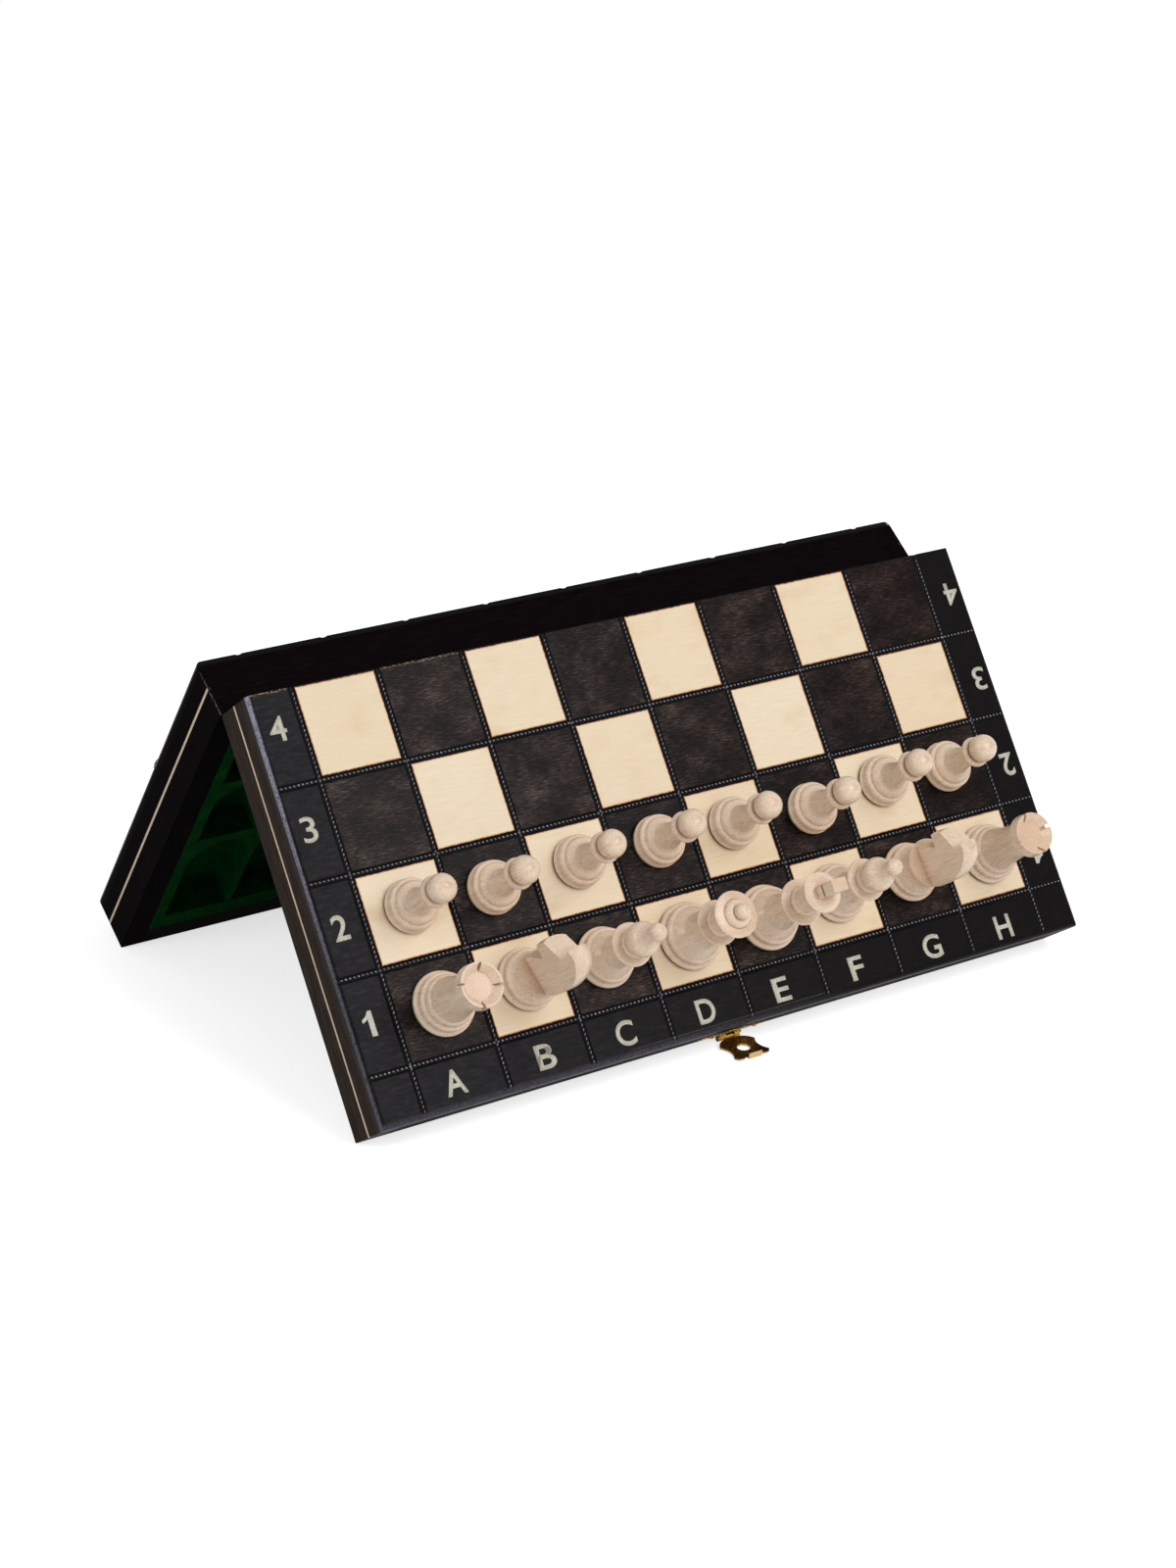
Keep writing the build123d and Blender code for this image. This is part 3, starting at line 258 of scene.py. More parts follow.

    # painted bluish highlight along the rounded edges, strongest at the spine end of the left one
    sheen_and_wear_grains = grains(tree, half, (0.45, 0.8, 0.45))
    sheen_and_wear_grains = add(tree, "ShaderNodeMapRange", {"Value": sheen_and_wear_grains, "From Min": 0.25, "From Max": 0.6})
    sheen_band_start = add(
        tree, "ShaderNodeMapRange",
        {
            "Value": y, "From Min": -2 * SQUARE_MM, "From Max": 0.0,
            "To Min": 0.75 - SIDE_MM, "To Max": 1.4 - SIDE_MM,
        },
    )
    left_sheen_mask = add(
        tree, "ShaderNodeMapRange",
        {"Value": x, "From Min": sheen_band_start, "From Max": 0.5 - SIDE_MM}, interpolation_type="SMOOTHSTEP",
    )
    sheen_weaker = add(
        tree, "ShaderNodeMapRange", {"Value": y, "From Min": -95.0, "From Max": -15.0, "To Min": 0.28})
    left_sheen_mask = add(tree, "ShaderNodeMath", {0: left_sheen_mask, 1: sheen_weaker}, operation="MULTIPLY")
    front_sheen_mask = add(
        tree, "ShaderNodeMapRange",
        {"Value": y, "From Min": 2.5 - FRONT_MM, "From Max": 0.9 - FRONT_MM, "To Max": 0.16},
        interpolation_type="SMOOTHSTEP",
    )
    front_sheen_leftward = add(tree, "ShaderNodeMapRange", {"Value": x, "From Min": 45.0, "From Max": -30.0})
    front_sheen_mask = add(tree, "ShaderNodeMath", {0: front_sheen_mask, 1: front_sheen_leftward}, operation="MULTIPLY")
    edge_sheen_mask = add(tree, "ShaderNodeMath", {0: left_sheen_mask, 1: front_sheen_mask}, operation="MAXIMUM")
    edge_sheen_mask = add(tree, "ShaderNodeMath", {0: edge_sheen_mask, 1: sheen_and_wear_grains}, operation="MULTIPLY")
    edge_sheen_mask = add(tree, "ShaderNodeMath", {0: edge_sheen_mask, 1: outside}, operation="MULTIPLY")
    face = add(tree, "ShaderNodeMix", {0: edge_sheen_mask, 6: face, 7: "#aaa8bb"}, out=2, data_type="RGBA")

    if half == "near":
        # bare wood where the dye has chipped off the spine edge, and rubbed thin at the front edge
        flakes = grains(tree, half, (1.3, 0.4, 0.4), detail=4.0)
        depth = add(
            tree, "ShaderNodeMapRange",
            {"Value": y, "From Min": -1.6, "From Max": -0.3, "To Min": 0.2, "To Max": -0.03},
        )
        flakes = add(tree, "ShaderNodeMath", {0: flakes, 1: depth}, operation="SUBTRACT")
        flakes = add(
            tree, "ShaderNodeMapRange",
            {"Value": flakes, "From Min": 0.5, "From Max": 0.62, "To Max": 0.85},
        )
        for low, high in CHIPPED:
            here = add(
                tree, "ShaderNodeMath", {0: x, 1: (low + high) / 2, 2: (high - low) / 2},
                operation="COMPARE",
            )
            chip = add(tree, "ShaderNodeMath", {0: flakes, 1: here}, operation="MULTIPLY")
            face = add(tree, "ShaderNodeMix", {0: chip, 6: face, 7: "#a58a72"}, out=2, data_type="RGBA")
        low, high = RUBBED
        here = add(
            tree, "ShaderNodeMath", {0: x, 1: (low + high) / 2, 2: (high - low) / 2},
            operation="COMPARE",
        )
        thin = add(tree, "ShaderNodeMath", {0: y, 1: 2.4 - FRONT_MM, 2: 0.2}, operation="COMPARE")
        thin = add(tree, "ShaderNodeMath", {0: thin, 1: here}, operation="MULTIPLY")
        thin = add(tree, "ShaderNodeMath", {0: thin, 1: sheen_and_wear_grains}, operation="MULTIPLY")
        face = add(tree, "ShaderNodeMix", {0: thin, 6: face, 7: "#433c3a"}, out=2, data_type="RGBA")

    # the panel's own edges are dyed with the rails, from 2 mm below the face
    wall_grain = grains(tree, half, (8.0, 6.0, 0.5))
    wall = add(tree, "ShaderNodeValToRGB", {"Fac": wall_grain}, stops=SIDE_DYE[half])
    black = add(tree, "ShaderNodeValToRGB", {"Fac": wall_grain}, stops=SPINE_DYE)
    at_side = add(tree, "ShaderNodeMath", {0: across, 1: SIDE_MM - 0.5}, operation="GREATER_THAN")
    before_spine = add(tree, "ShaderNodeMath", {0: y, 1: -0.3}, operation="LESS_THAN")
    at_side = add(tree, "ShaderNodeMath", {0: at_side, 1: before_spine}, operation="MULTIPLY")
    wall = add(tree, "ShaderNodeMix", {0: at_side, 6: black, 7: wall}, out=2, data_type="RGBA")
    on_wall = add(
        tree, "ShaderNodeMapRange",
        {"Value": z, "From Min": -2.1, "From Max": -1.5, "To Min": 1.0, "To Max": 0.0},
        interpolation_type="SMOOTHSTEP",
    )
    colour = add(tree, "ShaderNodeMix", {0: on_wall, 6: face, 7: wall}, out=2, data_type="RGBA")
    gloss = add(
        tree, "ShaderNodeMapRange",
        {"Value": streak, "From Min": 0.55, "From Max": 1.0, "To Min": 0.3, "To Max": 0.48},
    )
    sheen = add(
        tree, "ShaderNodeMapRange", {"Value": on_wall, "To Min": 0.06, "To Max": SIDE_SHEEN[half]})
    pores = add(tree, "ShaderNodeBump", {"Height": streak, "Distance": 0.06 * MM, "Strength": 0.6})
    shader = add(
        tree, "ShaderNodeBsdfPrincipled",
        {"Base Color": colour, "Roughness": gloss, "Specular IOR Level": sheen, "Normal": pores},
    )
    add(tree, "ShaderNodeOutputMaterial", {"Surface": shader})
    return made


def dyed_rail(half, name, stops, sheen):
    """Solid pine rail, dyed and rubbed with wax: grain lines half a millimetre apart."""
    made, tree = new_material(name + "_" + half)
    grain = grains(tree, half, (9.0, 9.0, 0.5), detail=4.0, roughness=0.65)
    colour = add(tree, "ShaderNodeValToRGB", {"Fac": grain}, stops=stops)
    black = add(tree, "ShaderNodeValToRGB", {"Fac": grain}, stops=SPINE_DYE)
    x, y = add(tree, "ShaderNodeSeparateXYZ", {0: flat_place(tree, half, (1, 1, 1))}, out=(0, 1))
    on_spine = add(tree, "ShaderNodeMath", {0: y, 1: SPINE_WALL_MM}, operation="GREATER_THAN")
    colour = add(tree, "ShaderNodeMix", {0: on_spine, 6: colour, 7: black}, out=2, data_type="RGBA")
    # the dye has worn off the corner between the right end and the spine wall
    corner = add(tree, "ShaderNodeMath", {0: x, 1: y}, operation="ADD")
    corner = add(
        tree, "ShaderNodeMapRange",
        {"Value": corner, "From Min": SIDE_MM - 0.5, "From Max": SIDE_MM - 0.1},
    )
    specks = grains(tree, half, (0.5, 0.5, 1.1), detail=2.0)
    specks = add(
        tree, "ShaderNodeMapRange", {"Value": specks, "From Min": 0.45, "From Max": 0.6, "To Max": 0.8})
    corner = add(tree, "ShaderNodeMath", {0: corner, 1: specks}, operation="MULTIPLY")
    colour = add(tree, "ShaderNodeMix", {0: corner, 6: colour, 7: "#77776f"}, out=2, data_type="RGBA")
    shader = add(
        tree, "ShaderNodeBsdfPrincipled",
        {
            "Base Color": colour,
            "Roughness": 0.55,
            "Specular IOR Level": sheen,
            "Normal": add(
                tree, "ShaderNodeBump", {"Height": grain, "Distance": 0.05 * MM, "Strength": 0.5}),
        },
    )
    add(tree, "ShaderNodeOutputMaterial", {"Surface": shader})
    return made


def inlaid_maple(half):
    """Maple strip glued into the rails and planed flush, dyed over at the spine wall."""
    made, tree = new_material("inlaid_maple_" + half)
    grain = grains(tree, half, (4.0, 4.0, 0.25))
    colour = add(
        tree, "ShaderNodeValToRGB", {"Fac": grain},
        stops=[(0.3, "#bfa78d"), (0.55, "#dfcab0"), (0.8, "#eddcc6")],
    )
    y = add(tree, "ShaderNodeSeparateXYZ", {0: flat_place(tree, half, (1, 1, 1))}, out=1)
    on_spine = add(tree, "ShaderNodeMath", {0: y, 1: SPINE_WALL_MM}, operation="GREATER_THAN")
    shader = add(
        tree, "ShaderNodeBsdfPrincipled",
        {
            "Base Color": add(
                tree, "ShaderNodeMix", {0: on_spine, 6: colour, 7: "#0a0808"}, out=2, data_type="RGBA"),
            "Roughness": 0.5,
            "Specular IOR Level": 0.25,
            "Normal": add(
                tree, "ShaderNodeBump", {"Height": grain, "Distance": 0.03 * MM, "Strength": 0.5}),
        },
    )
    add(tree, "ShaderNodeOutputMaterial", {"Surface": shader})
    return made


def turned_wood(half, name, stops, pore_colour):
    """Turned lime wood under clear varnish, with fine fibres along its axis, on a thin felt pad."""
    made, tree = new_material(name)
    fibres = grains(tree, half, (0.5, 0.5, 9.0), detail=4.0, roughness=0.65)
    growth = grains(tree, half, (6.0, 2.2, 30.0), detail=2.0)
    tone = add(tree, "ShaderNodeMix", {0: 0.25, 2: fibres, 3: growth}, data_type="FLOAT")
    wood = add(tree, "ShaderNodeValToRGB", {"Fac": tone}, stops=stops)
    pores = add(
        tree, "ShaderNodeMapRange",
        {"Value": grains(tree, half, (0.22, 0.22, 2.4), detail=2.0), "From Min": 0.64, "From Max": 0.8},
        interpolation_type="SMOOTHSTEP",
    )
    wood = add(tree, "ShaderNodeMix", {0: pores, 6: wood, 7: pore_colour}, out=2, data_type="RGBA")
    # painted shade: faces square to the axis, the tops of the pieces, are browner
    facing = add(
        tree, "ShaderNodeVectorMath",
        {0: add(tree, "ShaderNodeTexCoord", out="Normal"), 1: FLAT[half].to_3x3() @ Vector((0, 0, 1))},
        out="Value", operation="DOT_PRODUCT",
    )
    painted_top_shade = add(
        tree, "ShaderNodeMapRange", {"Value": facing, "From Min": 0.93, "From Max": 0.99, "To Max": 0.4})
    wood = add(
        tree, "ShaderNodeMix", {0: painted_top_shade, 6: wood, 7: "#d2b69c"},
        out=2, data_type="RGBA", blend_type="MULTIPLY",
    )
    # painted shade: the turned creases and recesses are darkened by their occlusion
    painted_crease_shade = add(
        tree, "ShaderNodeAmbientOcclusion", {"Distance": 5 * MM}, out="AO", samples=6, only_local=True)
    painted_crease_shade = add(
        tree, "ShaderNodeMapRange",
        {"Value": painted_crease_shade, "From Min": 0.15, "From Max": 0.75, "To Min": 0.6, "To Max": 0.0},
    )
    wood = add(
        tree, "ShaderNodeMix", {0: painted_crease_shade, 6: wood, 7: "#a07c60"},
        out=2, data_type="RGBA", blend_type="MULTIPLY",
    )
    z = add(tree, "ShaderNodeSeparateXYZ", {0: flat_place(tree, half, (1, 1, 1))}, out=2)
    is_felt = add(tree, "ShaderNodeMath", {0: z, 1: FELT_MM}, operation="LESS_THAN")
    felt = add(
        tree, "ShaderNodeValToRGB", {"Fac": grains(tree, half, (0.25, 0.25, 0.25), detail=2.0)},
        stops=[(0.35, "#232c18"), (0.7, "#4c5a34")],
    )
    tool_marks = grains(tree, half, (30.0, 30.0, 0.3), detail=2.0)
    relief = add(tree, "ShaderNodeMath", {0: tool_marks, 1: 1.2, 2: tone}, operation="MULTIPLY_ADD")
    shader = add(
        tree, "ShaderNodeBsdfPrincipled",
        {
            "Base Color": add(
                tree, "ShaderNodeMix", {0: is_felt, 6: wood, 7: felt}, out=2, data_type="RGBA"),
            "Roughness": add(
                tree, "ShaderNodeMapRange", {"Value": is_felt, "To Min": 0.27, "To Max": 0.95}),
            "Specular IOR Level": 0.35,
            "Coat Weight": add(
                tree, "ShaderNodeMapRange", {"Value": is_felt, "To Min": 0.15, "To Max": 0.0}),
            "Coat Roughness": 0.15,
            "Normal": add(
                tree, "ShaderNodeBump", {"Height": relief, "Distance": 0.05 * MM, "Strength": 0.5}),
        },
    )
    add(tree, "ShaderNodeOutputMaterial", {"Surface": shader})
    return made


def flock(half):
    """Short nylon flock blown on to a formed tray: matt, deep green, paler where the fibres stand up."""
    made, tree = new_material("green_flock_" + half)
    fuzz = grains(tree, half, (0.35, 0.35, 0.35))
    pile = grains(tree, half, (7.0, 7.0, 7.0), detail=2.0)
    tone = add(tree, "ShaderNodeMix", {0: 0.4, 2: fuzz, 3: pile}, data_type="FLOAT")
    shader = add(
        tree, "ShaderNodeBsdfPrincipled",
        {
            "Base Color": add(
                tree, "ShaderNodeValToRGB", {"Fac": tone},
                stops=[(0.3, "#012208"), (0.5, "#03340e"), (0.72, "#075a1b")],
            ),
            "Roughness": 0.95,
            "Specular IOR Level": 0.02,
            "Sheen Weight": 0.06,
            "Sheen Roughness": 0.6,
            "Sheen Tint": "#3f9a55",
            "Normal": add(
                tree, "ShaderNodeBump", {"Height": fuzz, "Distance": 0.25 * MM, "Strength": 0.7}),
        },
    )
    add(tree, "ShaderNodeOutputMaterial", {"Surface": shader})
    return made


def metal(name, stops, roughness, grain):
    """Stamped or turned metal with tarnish in patches of the given size in mm."""
    made, tree = new_material(name)
    tarnish = add(
        tree, "ShaderNodeTexNoise",
        {
            "Vector": add(tree, "ShaderNodeTexCoord", out="Object"),
            "Scale": 1 / (grain * MM), "Detail": 3.0,
        },
    )
    shader = add(
        tree, "ShaderNodeBsdfPrincipled",
        {
            "Base Color": add(tree, "ShaderNodeValToRGB", {"Fac": tarnish}, stops=stops),
            "Metallic": 1.0,
            "Roughness": roughness,
            "Normal": add(
                tree, "ShaderNodeBump", {"Height": tarnish, "Distance": 0.04 * MM, "Strength": 0.5}),
        },
    )
    add(tree, "ShaderNodeOutputMaterial", {"Surface": shader})
    return made


LATCH_PIN = (0, -85.53 * MM, 1.11 * MM)     # its axis, which lies along X
LIP_START = -100.2 * MM                     # along Y, where the flap begins to turn up
LIP_FULL = -100.7 * MM
RIB_MM = 0.45                               # from one chatter mark on the barrel to the next


def latch_brass(name, stops):
    """Stamped brass darkened in a bath, rubbed back to gold on the curled barrel; the finger lip is
    rubbed paler and carries a painted highlight.
    """
    made, tree = new_material(name)
    place = add(tree, "ShaderNodeTexCoord", out="Object")
    tarnish = add(tree, "ShaderNodeTexNoise", {"Vector": place, "Scale": 1 / (0.7 * MM), "Detail": 3.0})
    colour = add(tree, "ShaderNodeValToRGB", {"Fac": tarnish}, stops=stops)
    side = add(tree, "ShaderNodeVectorMath", {0: place, 1: (0, 1, 1)}, operation="MULTIPLY")
    from_pin = add(
        tree, "ShaderNodeVectorMath", {0: side, 1: LATCH_PIN}, out="Value", operation="DISTANCE")
    barrel = add(
        tree, "ShaderNodeMapRange",
        {"Value": from_pin, "From Min": 1.1 * MM, "From Max": 1.5 * MM, "To Min": 1.0, "To Max": 0.0},
    )
    # chatter marks of the curling tool, with dark dirt between them
    marks = add(
        tree, "ShaderNodeTexWave",
        {
            "Vector": place, "Scale": 1 / (3.2 * RIB_MM * MM),
            "Distortion": 2.0, "Detail": 2.0, "Detail Scale": 2.0,
        },
    )
    gold = add(
        tree, "ShaderNodeValToRGB", {"Fac": marks},
        stops=[(0.15, "#3c2709"), (0.45, "#a97a22"), (0.8, "#e6b852")],
    )
    colour = add(tree, "ShaderNodeMix", {0: barrel, 6: colour, 7: gold}, out=2, data_type="RGBA")
    y = add(tree, "ShaderNodeSeparateXYZ", {0: place}, out=1)
    # the finger lip is painted paler: rubbed brass and a painted highlight
    lip_wear_and_highlight = add(
        tree, "ShaderNodeMapRange",
        {"Value": y, "From Min": LIP_START, "From Max": LIP_FULL, "To Max": 0.8},
    )
    colour = add(tree, "ShaderNodeMix", {0: lip_wear_and_highlight, 6: colour, 7: "#c0a478"}, out=2, data_type="RGBA")
    shader = add(
        tree, "ShaderNodeBsdfPrincipled",
        {
            "Base Color": colour,
            "Metallic": 1.0,
            "Roughness": 0.36,
            "Normal": add(
                tree, "ShaderNodeBump", {"Height": tarnish, "Distance": 0.06 * MM, "Strength": 0.6}),
        },
    )
    add(tree, "ShaderNodeOutputMaterial", {"Surface": shader})
    return made


def rope_dye_painted_crowns(half):
    """Black dye on the embossed twists with painted light: painted shade on the flanks and a painted grey
    highlight on each crown.
    """
    made, tree = new_material("rope_dye_painted_crowns_" + half)
    z = add(tree, "ShaderNodeSeparateXYZ", {0: flat_place(tree, half, (1, 1, 1))}, out=2)
    rise = add(tree, "ShaderNodeMapRange", {"Value": z, "From Min": -0.4, "From Max": -0.06})
    crown_patches = grains(tree, half, (2.4, 2.4, 2.4))
    crown_patches = add(
        tree, "ShaderNodeMapRange", {"Value": crown_patches, "From Min": 0.3, "From Max": 0.7, "To Min": 0.72})
    # painted highlight on the crowns, fading to painted shade down the flanks, in patches
    painted_crown_highlight = add(tree, "ShaderNodeMath", {0: rise, 1: crown_patches}, operation="MULTIPLY")
    shader = add(
        tree, "ShaderNodeBsdfPrincipled",
        {
            "Base Color": add(
                tree, "ShaderNodeValToRGB", {"Fac": painted_crown_highlight},
                stops=[(0.3, "#0a090b"), (0.62, "#2b2a30"), (0.85, "#706f7a"), (1.0, "#bcbcc6")],
            ),
            "Roughness": 0.3,
            "Specular IOR Level": 0.5,
            "Normal": add(
                tree, "ShaderNodeBump", {"Height": crown_patches, "Distance": 0.02 * MM, "Strength": 0.3}),
        },
    )
    add(tree, "ShaderNodeOutputMaterial", {"Surface": shader})
    return made


def print_paint():
    """Off-white ink pressed on with a pad, a little thin in places."""
    made, tree = new_material("pad_printed_ink")
    thin = add(
        tree, "ShaderNodeTexNoise",
        {
            "Vector": add(tree, "ShaderNodeTexCoord", out="Object"),
            "Scale": 1 / (0.5 * MM), "Detail": 3.0,
        },
    )
    shader = add(
        tree, "ShaderNodeBsdfPrincipled",
        {
            "Base Color": add(
                tree, "ShaderNodeValToRGB", {"Fac": thin},
                stops=[(0.28, "#9a998c"), (0.45, "#c6c4b4"), (0.7, "#d6d4c6")],
            ),
            "Roughness": 0.6,
            "Specular IOR Level": 0.3,
            "Normal": add(
                tree, "ShaderNodeBump", {"Height": thin, "Distance": 0.02 * MM, "Strength": 0.4}),
        },
    )
    add(tree, "ShaderNodeOutputMaterial", {"Surface": shader})
    return made


# Metals, from their dark patches to their bright ones
ZINC = [(0.3, "#8d9093"), (0.7, "#b4b7ba")]
PLATED = [(0.3, "#6f5c38"), (0.7, "#b09762")]
ROLLED = [(0.3, "#8a6c33"), (0.55, "#b8944d"), (0.8, "#d7b56d")]
ANTIQUED = [(0.3, "#3a2c14"), (0.48, "#7a6032"), (0.62, "#ad8f55"), (0.78, "#d6ba80")]
ANTIQUED_FLAP = [(0.3, "#3a2a16"), (0.45, "#8c6c3c"), (0.6, "#bd9862"), (0.76, "#e4c590")]

for half in ("near", "rear"):
    side_wood = dyed_rail(half, "dyed_pine_side", SIDE_DYE[half], SIDE_SHEEN[half])
    black_wood = dyed_rail(half, "dyed_pine_black", BLACK_DYE, BLACK_SHEEN)
    pieces = {
        "playing_panel": veneer(half),
        "left_rail": side_wood,
        "right_rail": side_wood,
        "front_rail": black_wood,
        "spine_rail": black_wood,
        "inlay_lines": inlaid_maple(half),
        "tray": flock(half),
        "steel_sheet": metal("zinc_plated_sheet_" + half, ZINC, 0.4, 8.0),
    }
    for piece, finish in pieces.items():
        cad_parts[half + "_" + piece].data.materials[0] = finish

lime = turned_wood(
    "near", "turned_lime_wood",
    [(0.3, "#d6b699"), (0.5, "#edd4ba"), (0.7, "#f8e7d2")], "#c09d7e",
)
dyed_lime = turned_wood(
    "rear", "turned_lime_wood_dyed_dark",
    [(0.3, "#1a100c"), (0.5, "#261812"), (0.7, "#38241a")], "#0e0907",
)
finishes = {
    "white_": lime,
    "black_": dyed_lime,
    "hinge_near_screws": metal("brass_plated_steel_near", PLATED, 0.4, 0.8),
    "hinge_rear_screws": metal("brass_plated_steel_rear", PLATED, 0.4, 0.8),
    "hinge_": metal("rolled_brass", ROLLED, 0.35, 1.5),
    "latch_flap": latch_brass("antiqued_brass_flap", ANTIQUED_FLAP),
    "latch_": latch_brass("antiqued_brass_plate", ANTIQUED),
    "catch_": metal("antiqued_brass_catch", ANTIQUED, 0.38, 0.7),
}
# a piece takes the first finish in the list that stands for the beginning of its name
for name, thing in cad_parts.items():
    prefix = next((start for start in finishes if name.startswith(start)), None)
    if prefix:
        thing.data.materials[0] = finishes[prefix]


# Pieces that only the looks need

def clear_selection():
    bpy.ops.object.select_all(action="DESELECT")


def apply_modifiers(thing):
    for modifier in list(thing.modifiers):
        bpy.ops.object.modifier_apply(modifier=modifier.name)


def join(things, name):
    clear_selection()
    for thing in things:
        thing.select_set(True)
    bpy.context.view_layer.objects.active = things[0]
    bpy.ops.object.join()
    joined = bpy.context.active_object
    joined.name = name
    joined.data.name = name
    return joined


def set_on(thing, half):
    """Puts a piece that was made flat on its half and leaves its place in its mesh."""
    clear_selection()
    thing.select_set(True)
    bpy.context.view_layer.objects.active = thing
    thing.matrix_world = FLAT[half] @ thing.matrix_world
    bpy.ops.object.transform_apply(location=True, rotation=True, scale=True)
    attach(thing, half + "_half")


def copied(thing, name, matrix):
    """A copy with its own mesh, its place worked into the mesh."""
    twin = thing.copy()
    twin.data = thing.data.copy()
    twin.name = name
    bpy.context.collection.objects.link(twin)
    twin.matrix_world = matrix
    clear_selection()
    twin.select_set(True)
    bpy.context.view_layer.objects.active = twin
    bpy.ops.object.transform_apply(location=True, rotation=True, scale=True)
    return twin


ROPE_PITCH = 1.51 * MM          # one twist of the embossing wheel to the next
TWIST_HEIGHT = 0.36 * MM
RANK_TWIST = (1.15 * MM, 0.85 * MM, radians(35))    # length, width and slant of a twist
FILE_TWIST = (1.4 * MM, 0.62 * MM, radians(28))
FILE_ROPE_SHIFT = 0.25 * MM     # twists set right in the file grooves: the black floor left of them is painted shade
RANK_ROPE_SHIFT = 0.15 * MM     # and a little high in the rank grooves
EDGE_MARGIN = 0.9 * MM          # the last twist stays inside the rounded edge


def rope(length, twist_length, twist_width, slant):
    """One embossed line along X: a slanted twist, cut flat below, repeated along the line."""
    clear_selection()
    bpy.ops.mesh.primitive_uv_sphere_add(segments=8, ring_count=6, radius=0.5)
    twist = bpy.context.active_object
    bpy.ops.object.mode_set(mode="EDIT")
    bpy.ops.mesh.select_all(action="SELECT")
    bpy.ops.transform.resize(value=(twist_length, twist_width, 2 * TWIST_HEIGHT))
    bpy.ops.mesh.bisect(plane_co=(0, 0, 0), plane_no=(0, 0, 1), use_fill=True, clear_inner=True)
    bpy.ops.mesh.select_all(action="SELECT")
    bpy.ops.transform.rotate(value=slant, orient_axis="Z", center_override=(0, 0, 0))
    bpy.ops.object.mode_set(mode="OBJECT")
    bpy.ops.object.shade_smooth_by_angle(angle=radians(50))
    count = int(length / ROPE_PITCH)
    row = twist.modifiers.new("row", "ARRAY")
    row.count = count
    row.use_relative_offset = False
    row.use_constant_offset = True
    row.constant_offset_displace = (ROPE_PITCH, 0, 0)
    apply_modifiers(twist)
    twist.location = (-(count - 1) / 2 * ROPE_PITCH, 0, 0)
    bpy.ops.object.transform_apply(location=True, rotation=True, scale=True)
    return twist


rank_rope = rope(2 * (SIDE_EDGE - EDGE_MARGIN), *RANK_TWIST)
file_rope = rope(FRONT_EDGE - 2 * EDGE_MARGIN, *FILE_TWIST)
for half in ("near", "rear"):
    lines = []
    for rank in range(1, 5):
        place = Matrix.Translation((0, -rank * SQUARE + RANK_ROPE_SHIFT, -GROOVE_DEPTH))
        lines.append(copied(rank_rope, "rank_line", place))
    for file in range(9):
        place = Matrix.Translation(
            ((file - 4) * SQUARE + FILE_ROPE_SHIFT, -FRONT_EDGE / 2, -GROOVE_DEPTH))
        lines.append(copied(file_rope, "file_line", place @ Matrix.Rotation(pi / 2, 4, "Z")))
    ropes = join(lines, half + "_embossed_rope")
    ropes.data.materials.clear()
    ropes.data.materials.append(rope_dye_painted_crowns(half))
    set_on(ropes, half)
for pattern in (rank_rope, file_rope):
    bpy.data.objects.remove(pattern)

# Letters and numbers: width and height of each, mm, and the middle of each on a half, mm
GLYPHS = {
    "A": (7.4, 8.1), "B": (6.9, 8.1), "C": (7.1, 8.3), "D": (6.9, 8.1),
    "E": (6.2, 8.1), "F": (5.7, 8.1), "G": (7.6, 8.3), "H": (6.7, 8.1),
    "1": (3.8, 8.1), "2": (5.3, 8.2), "3": (5.2, 8.3), "4": (5.9, 8.1),
    "5": (5.3, 8.2), "6": (5.3, 8.3), "7": (5.3, 8.1), "8": (5.4, 8.3),
}
INK = 0.04 * MM         # thickness of the print
WEIGHT = 0.018          # how much bolder the print is than the plain letters, of their size
OPEN_WEIGHT = 0.01      # the same for numbers that would close up
# Outline of the number one as it is printed, mm
ONE = [
    (1.95, 0.0), (3.75, 0.0), (3.75, 8.15), (2.4, 8.15), (1.95, 7.2),
    (1.1, 6.35), (0.0, 5.8), (0.0, 4.65), (1.05, 5.1), (1.95, 5.75),
]
FRONT_LETTERS = [
    (-111.0, -132.2), (-77.8, -132.4), (-47.7, -132.5), (-16.4, -132.8),
    (13.8, -133.0), (45.0, -133.2), (77.0, -133.4), (108.2, -133.7),
]
LEFT_NUMBERS = [(-132.5, -12.2), (-132.6, -45.1), (-132.6, -77.0), (-133.1, -107.9)]
RIGHT_NUMBERS = [(133.8, -16.5), (133.5, -48.1), (132.9, -79.9), (132.6, -112.0)]


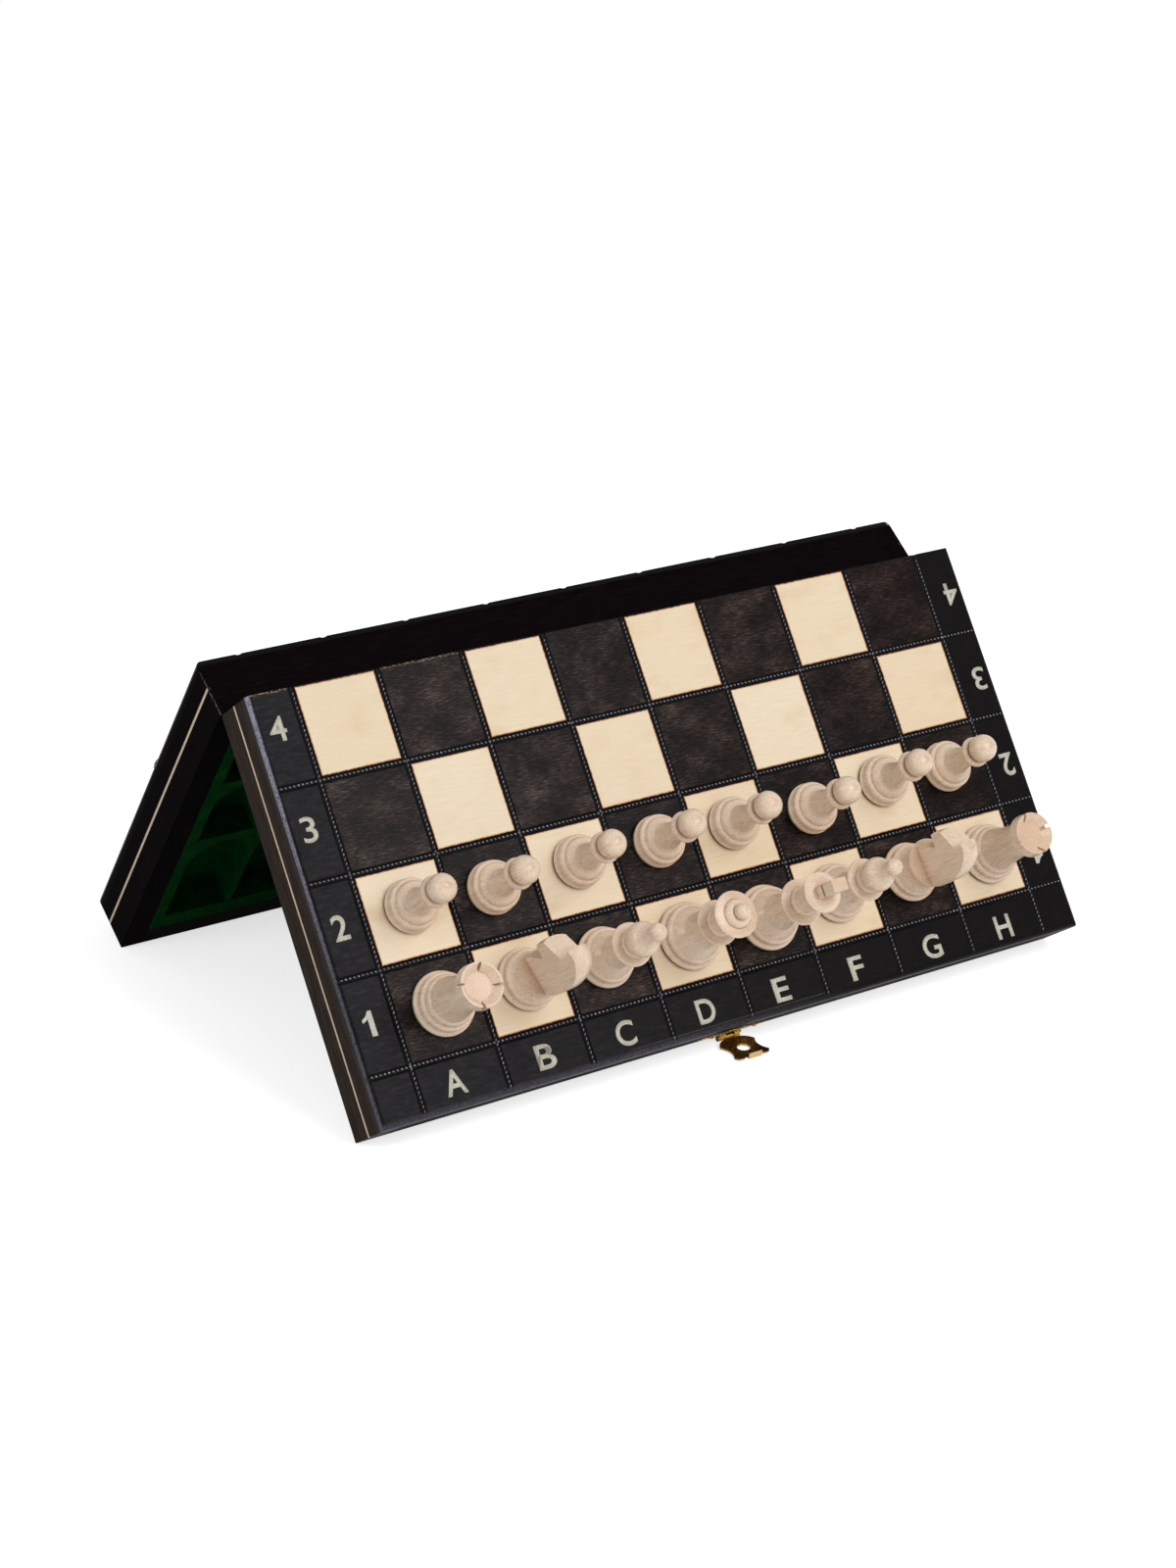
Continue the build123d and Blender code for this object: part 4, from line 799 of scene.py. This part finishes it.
def printed(glyph, place, turned=False):
    """One letter or number as thin ink on the flat face."""
    clear_selection()
    if glyph == "1":
        outline = bpy.data.meshes.new("one")
        outline.from_pydata([(x, y, 0) for x, y in ONE], [], [range(len(ONE))])
        text = bpy.data.objects.new("one", outline)
        bpy.context.collection.objects.link(text)
        text.select_set(True)
        bpy.context.view_layer.objects.active = text
    else:
        bpy.ops.object.text_add()
        text = bpy.context.active_object
        text.data.body = glyph
        text.data.size = 1.0
        text.data.offset = OPEN_WEIGHT if glyph in "34" else WEIGHT
        text.data.resolution_u = 6
        bpy.ops.object.convert(target="MESH")
    corners = [vertex.co for vertex in text.data.vertices]
    low = [min(c[i] for c in corners) for i in range(2)]
    high = [max(c[i] for c in corners) for i in range(2)]
    width, height = (size * MM for size in GLYPHS[glyph])
    middle = Matrix.Translation((-(low[0] + high[0]) / 2, -(low[1] + high[1]) / 2, 0))
    fit = Matrix.Diagonal((width / (high[0] - low[0]), height / (high[1] - low[1]), 1, 1))
    turn = Matrix.Rotation(pi if turned else 0, 4, "Z")
    text.matrix_world = Matrix.Translation((place[0] * MM, place[1] * MM, 0)) @ turn @ fit @ middle
    bpy.ops.object.transform_apply(location=True, rotation=True, scale=True)
    bpy.ops.object.mode_set(mode="EDIT")
    bpy.ops.mesh.select_all(action="SELECT")
    bpy.ops.mesh.remove_doubles(threshold=0.002 * MM)
    bpy.ops.mesh.extrude_region_move(TRANSFORM_OT_translate={"value": (0, 0, INK)})
    bpy.ops.mesh.select_all(action="SELECT")
    bpy.ops.mesh.normals_make_consistent(inside=False)
    bpy.ops.object.mode_set(mode="OBJECT")
    return text


ink = print_paint()
for half, letters, left, right in (
    ("near", "ABCDEFGH", "4321", "4321"),
    ("rear", "HGFEDCBA", "5678", "5678"),
):
    glyphs = [printed(glyph, place) for glyph, place in zip(letters, FRONT_LETTERS)]
    glyphs += [printed(glyph, place) for glyph, place in zip(left, LEFT_NUMBERS)]
    glyphs += [printed(glyph, place, turned=True) for glyph, place in zip(right, RIGHT_NUMBERS)]
    coordinates = join(glyphs, half + "_coordinates")
    coordinates.data.materials.clear()
    coordinates.data.materials.append(ink)
    set_on(coordinates, half)


# Floor, lights and camera

AMBIENT = 0.32          # white light from all round
FLOOR_GLOW = 0.68       # white added to the floor where a ray only looks at it
FLOOR_SIZE = 8.0


def only_looks(tree):
    """One for a ray from the camera, off metal or through glass, and zero for a ray that lights."""
    camera_ray, glossy_ray, clear_ray = add(
        tree, "ShaderNodeLightPath", out=("Is Camera Ray", "Is Glossy Ray", "Is Transmission Ray"))
    seen = add(tree, "ShaderNodeMath", {0: camera_ray, 1: glossy_ray}, operation="MAXIMUM")
    return add(tree, "ShaderNodeMath", {0: seen, 1: clear_ray}, operation="MAXIMUM")


clear_selection()
bpy.ops.mesh.primitive_plane_add(size=FLOOR_SIZE)
floor = bpy.context.active_object
floor.name = "floor"
made, tree = new_material("white_paper")
fibres = add(
    tree, "ShaderNodeTexNoise",
    {"Vector": add(tree, "ShaderNodeTexCoord", out="Object"), "Scale": 40.0},
)
paper = add(
    tree, "ShaderNodeBsdfDiffuse",
    {
        "Color": add(
            tree, "ShaderNodeValToRGB", {"Fac": fibres}, stops=[(0.0, "#f4f4f4"), (1.0, "#f7f7f7")]),
    },
)
strength = add(
    tree, "ShaderNodeMath", {0: only_looks(tree), 1: FLOOR_GLOW}, operation="MULTIPLY")
glow = add(tree, "ShaderNodeEmission", {"Strength": strength})
shade = add(tree, "ShaderNodeAddShader", {0: paper, 1: glow})
add(tree, "ShaderNodeOutputMaterial", {"Surface": shade})
floor.data.materials.append(made)

world = bpy.data.worlds.new("studio")
bpy.context.scene.world = world
world.use_nodes = True
tree = world.node_tree
tree.nodes.clear()
strength = add(
    tree, "ShaderNodeMath", {0: only_looks(tree), 1: 1 - AMBIENT, 2: AMBIENT},
    operation="MULTIPLY_ADD",
)
background = add(tree, "ShaderNodeBackground", {"Color": (1, 1, 1, 1), "Strength": strength})
add(tree, "ShaderNodeOutputWorld", {"Surface": background})


def softbox(name, place, target, size, power):
    clear_selection()
    bpy.ops.object.light_add(type="AREA", location=place)
    light = bpy.context.active_object
    light.name = name
    light.data.shape = "SQUARE"
    light.data.size = size
    light.data.energy = power
    light.rotation_euler = (Vector(target) - Vector(place)).to_track_quat("-Z", "Y").to_euler()


BOARD_MIDDLE = (0, -0.05, 0.06)     # of what the camera sees of it
softbox("right_softbox", (0.27, -1.0, 0.88), BOARD_MIDDLE, 0.7, 8.8)
softbox("left_softbox", (-1.1, -0.25, 0.75), BOARD_MIDDLE, 0.42, 2.6)

# The camera, worked out from the crossings of the grooves in the photo
CAMERA_PLACE = (-0.57087, -0.85016, 0.48996)
CAMERA_TURN = radians(-33.866)
CAMERA_DROP = radians(22.762)
CAMERA_ROLL = radians(0.912)
SENSOR = 36.0
LENS = 74.415

bpy.ops.object.camera_add()
camera = bpy.context.active_object
camera.name = "camera"
camera.matrix_world = (
    Matrix.Translation(CAMERA_PLACE)
    @ Matrix.Rotation(CAMERA_TURN, 4, "Z")
    @ Matrix.Rotation(pi / 2 - CAMERA_DROP, 4, "X")
    @ Matrix.Rotation(CAMERA_ROLL, 4, "Z")
)
camera.data.sensor_width = SENSOR
camera.data.lens = LENS
camera.data.clip_start = 0.01
camera.data.clip_end = 20.0
bpy.context.scene.camera = camera
bpy.context.scene.view_settings.view_transform = "Standard"
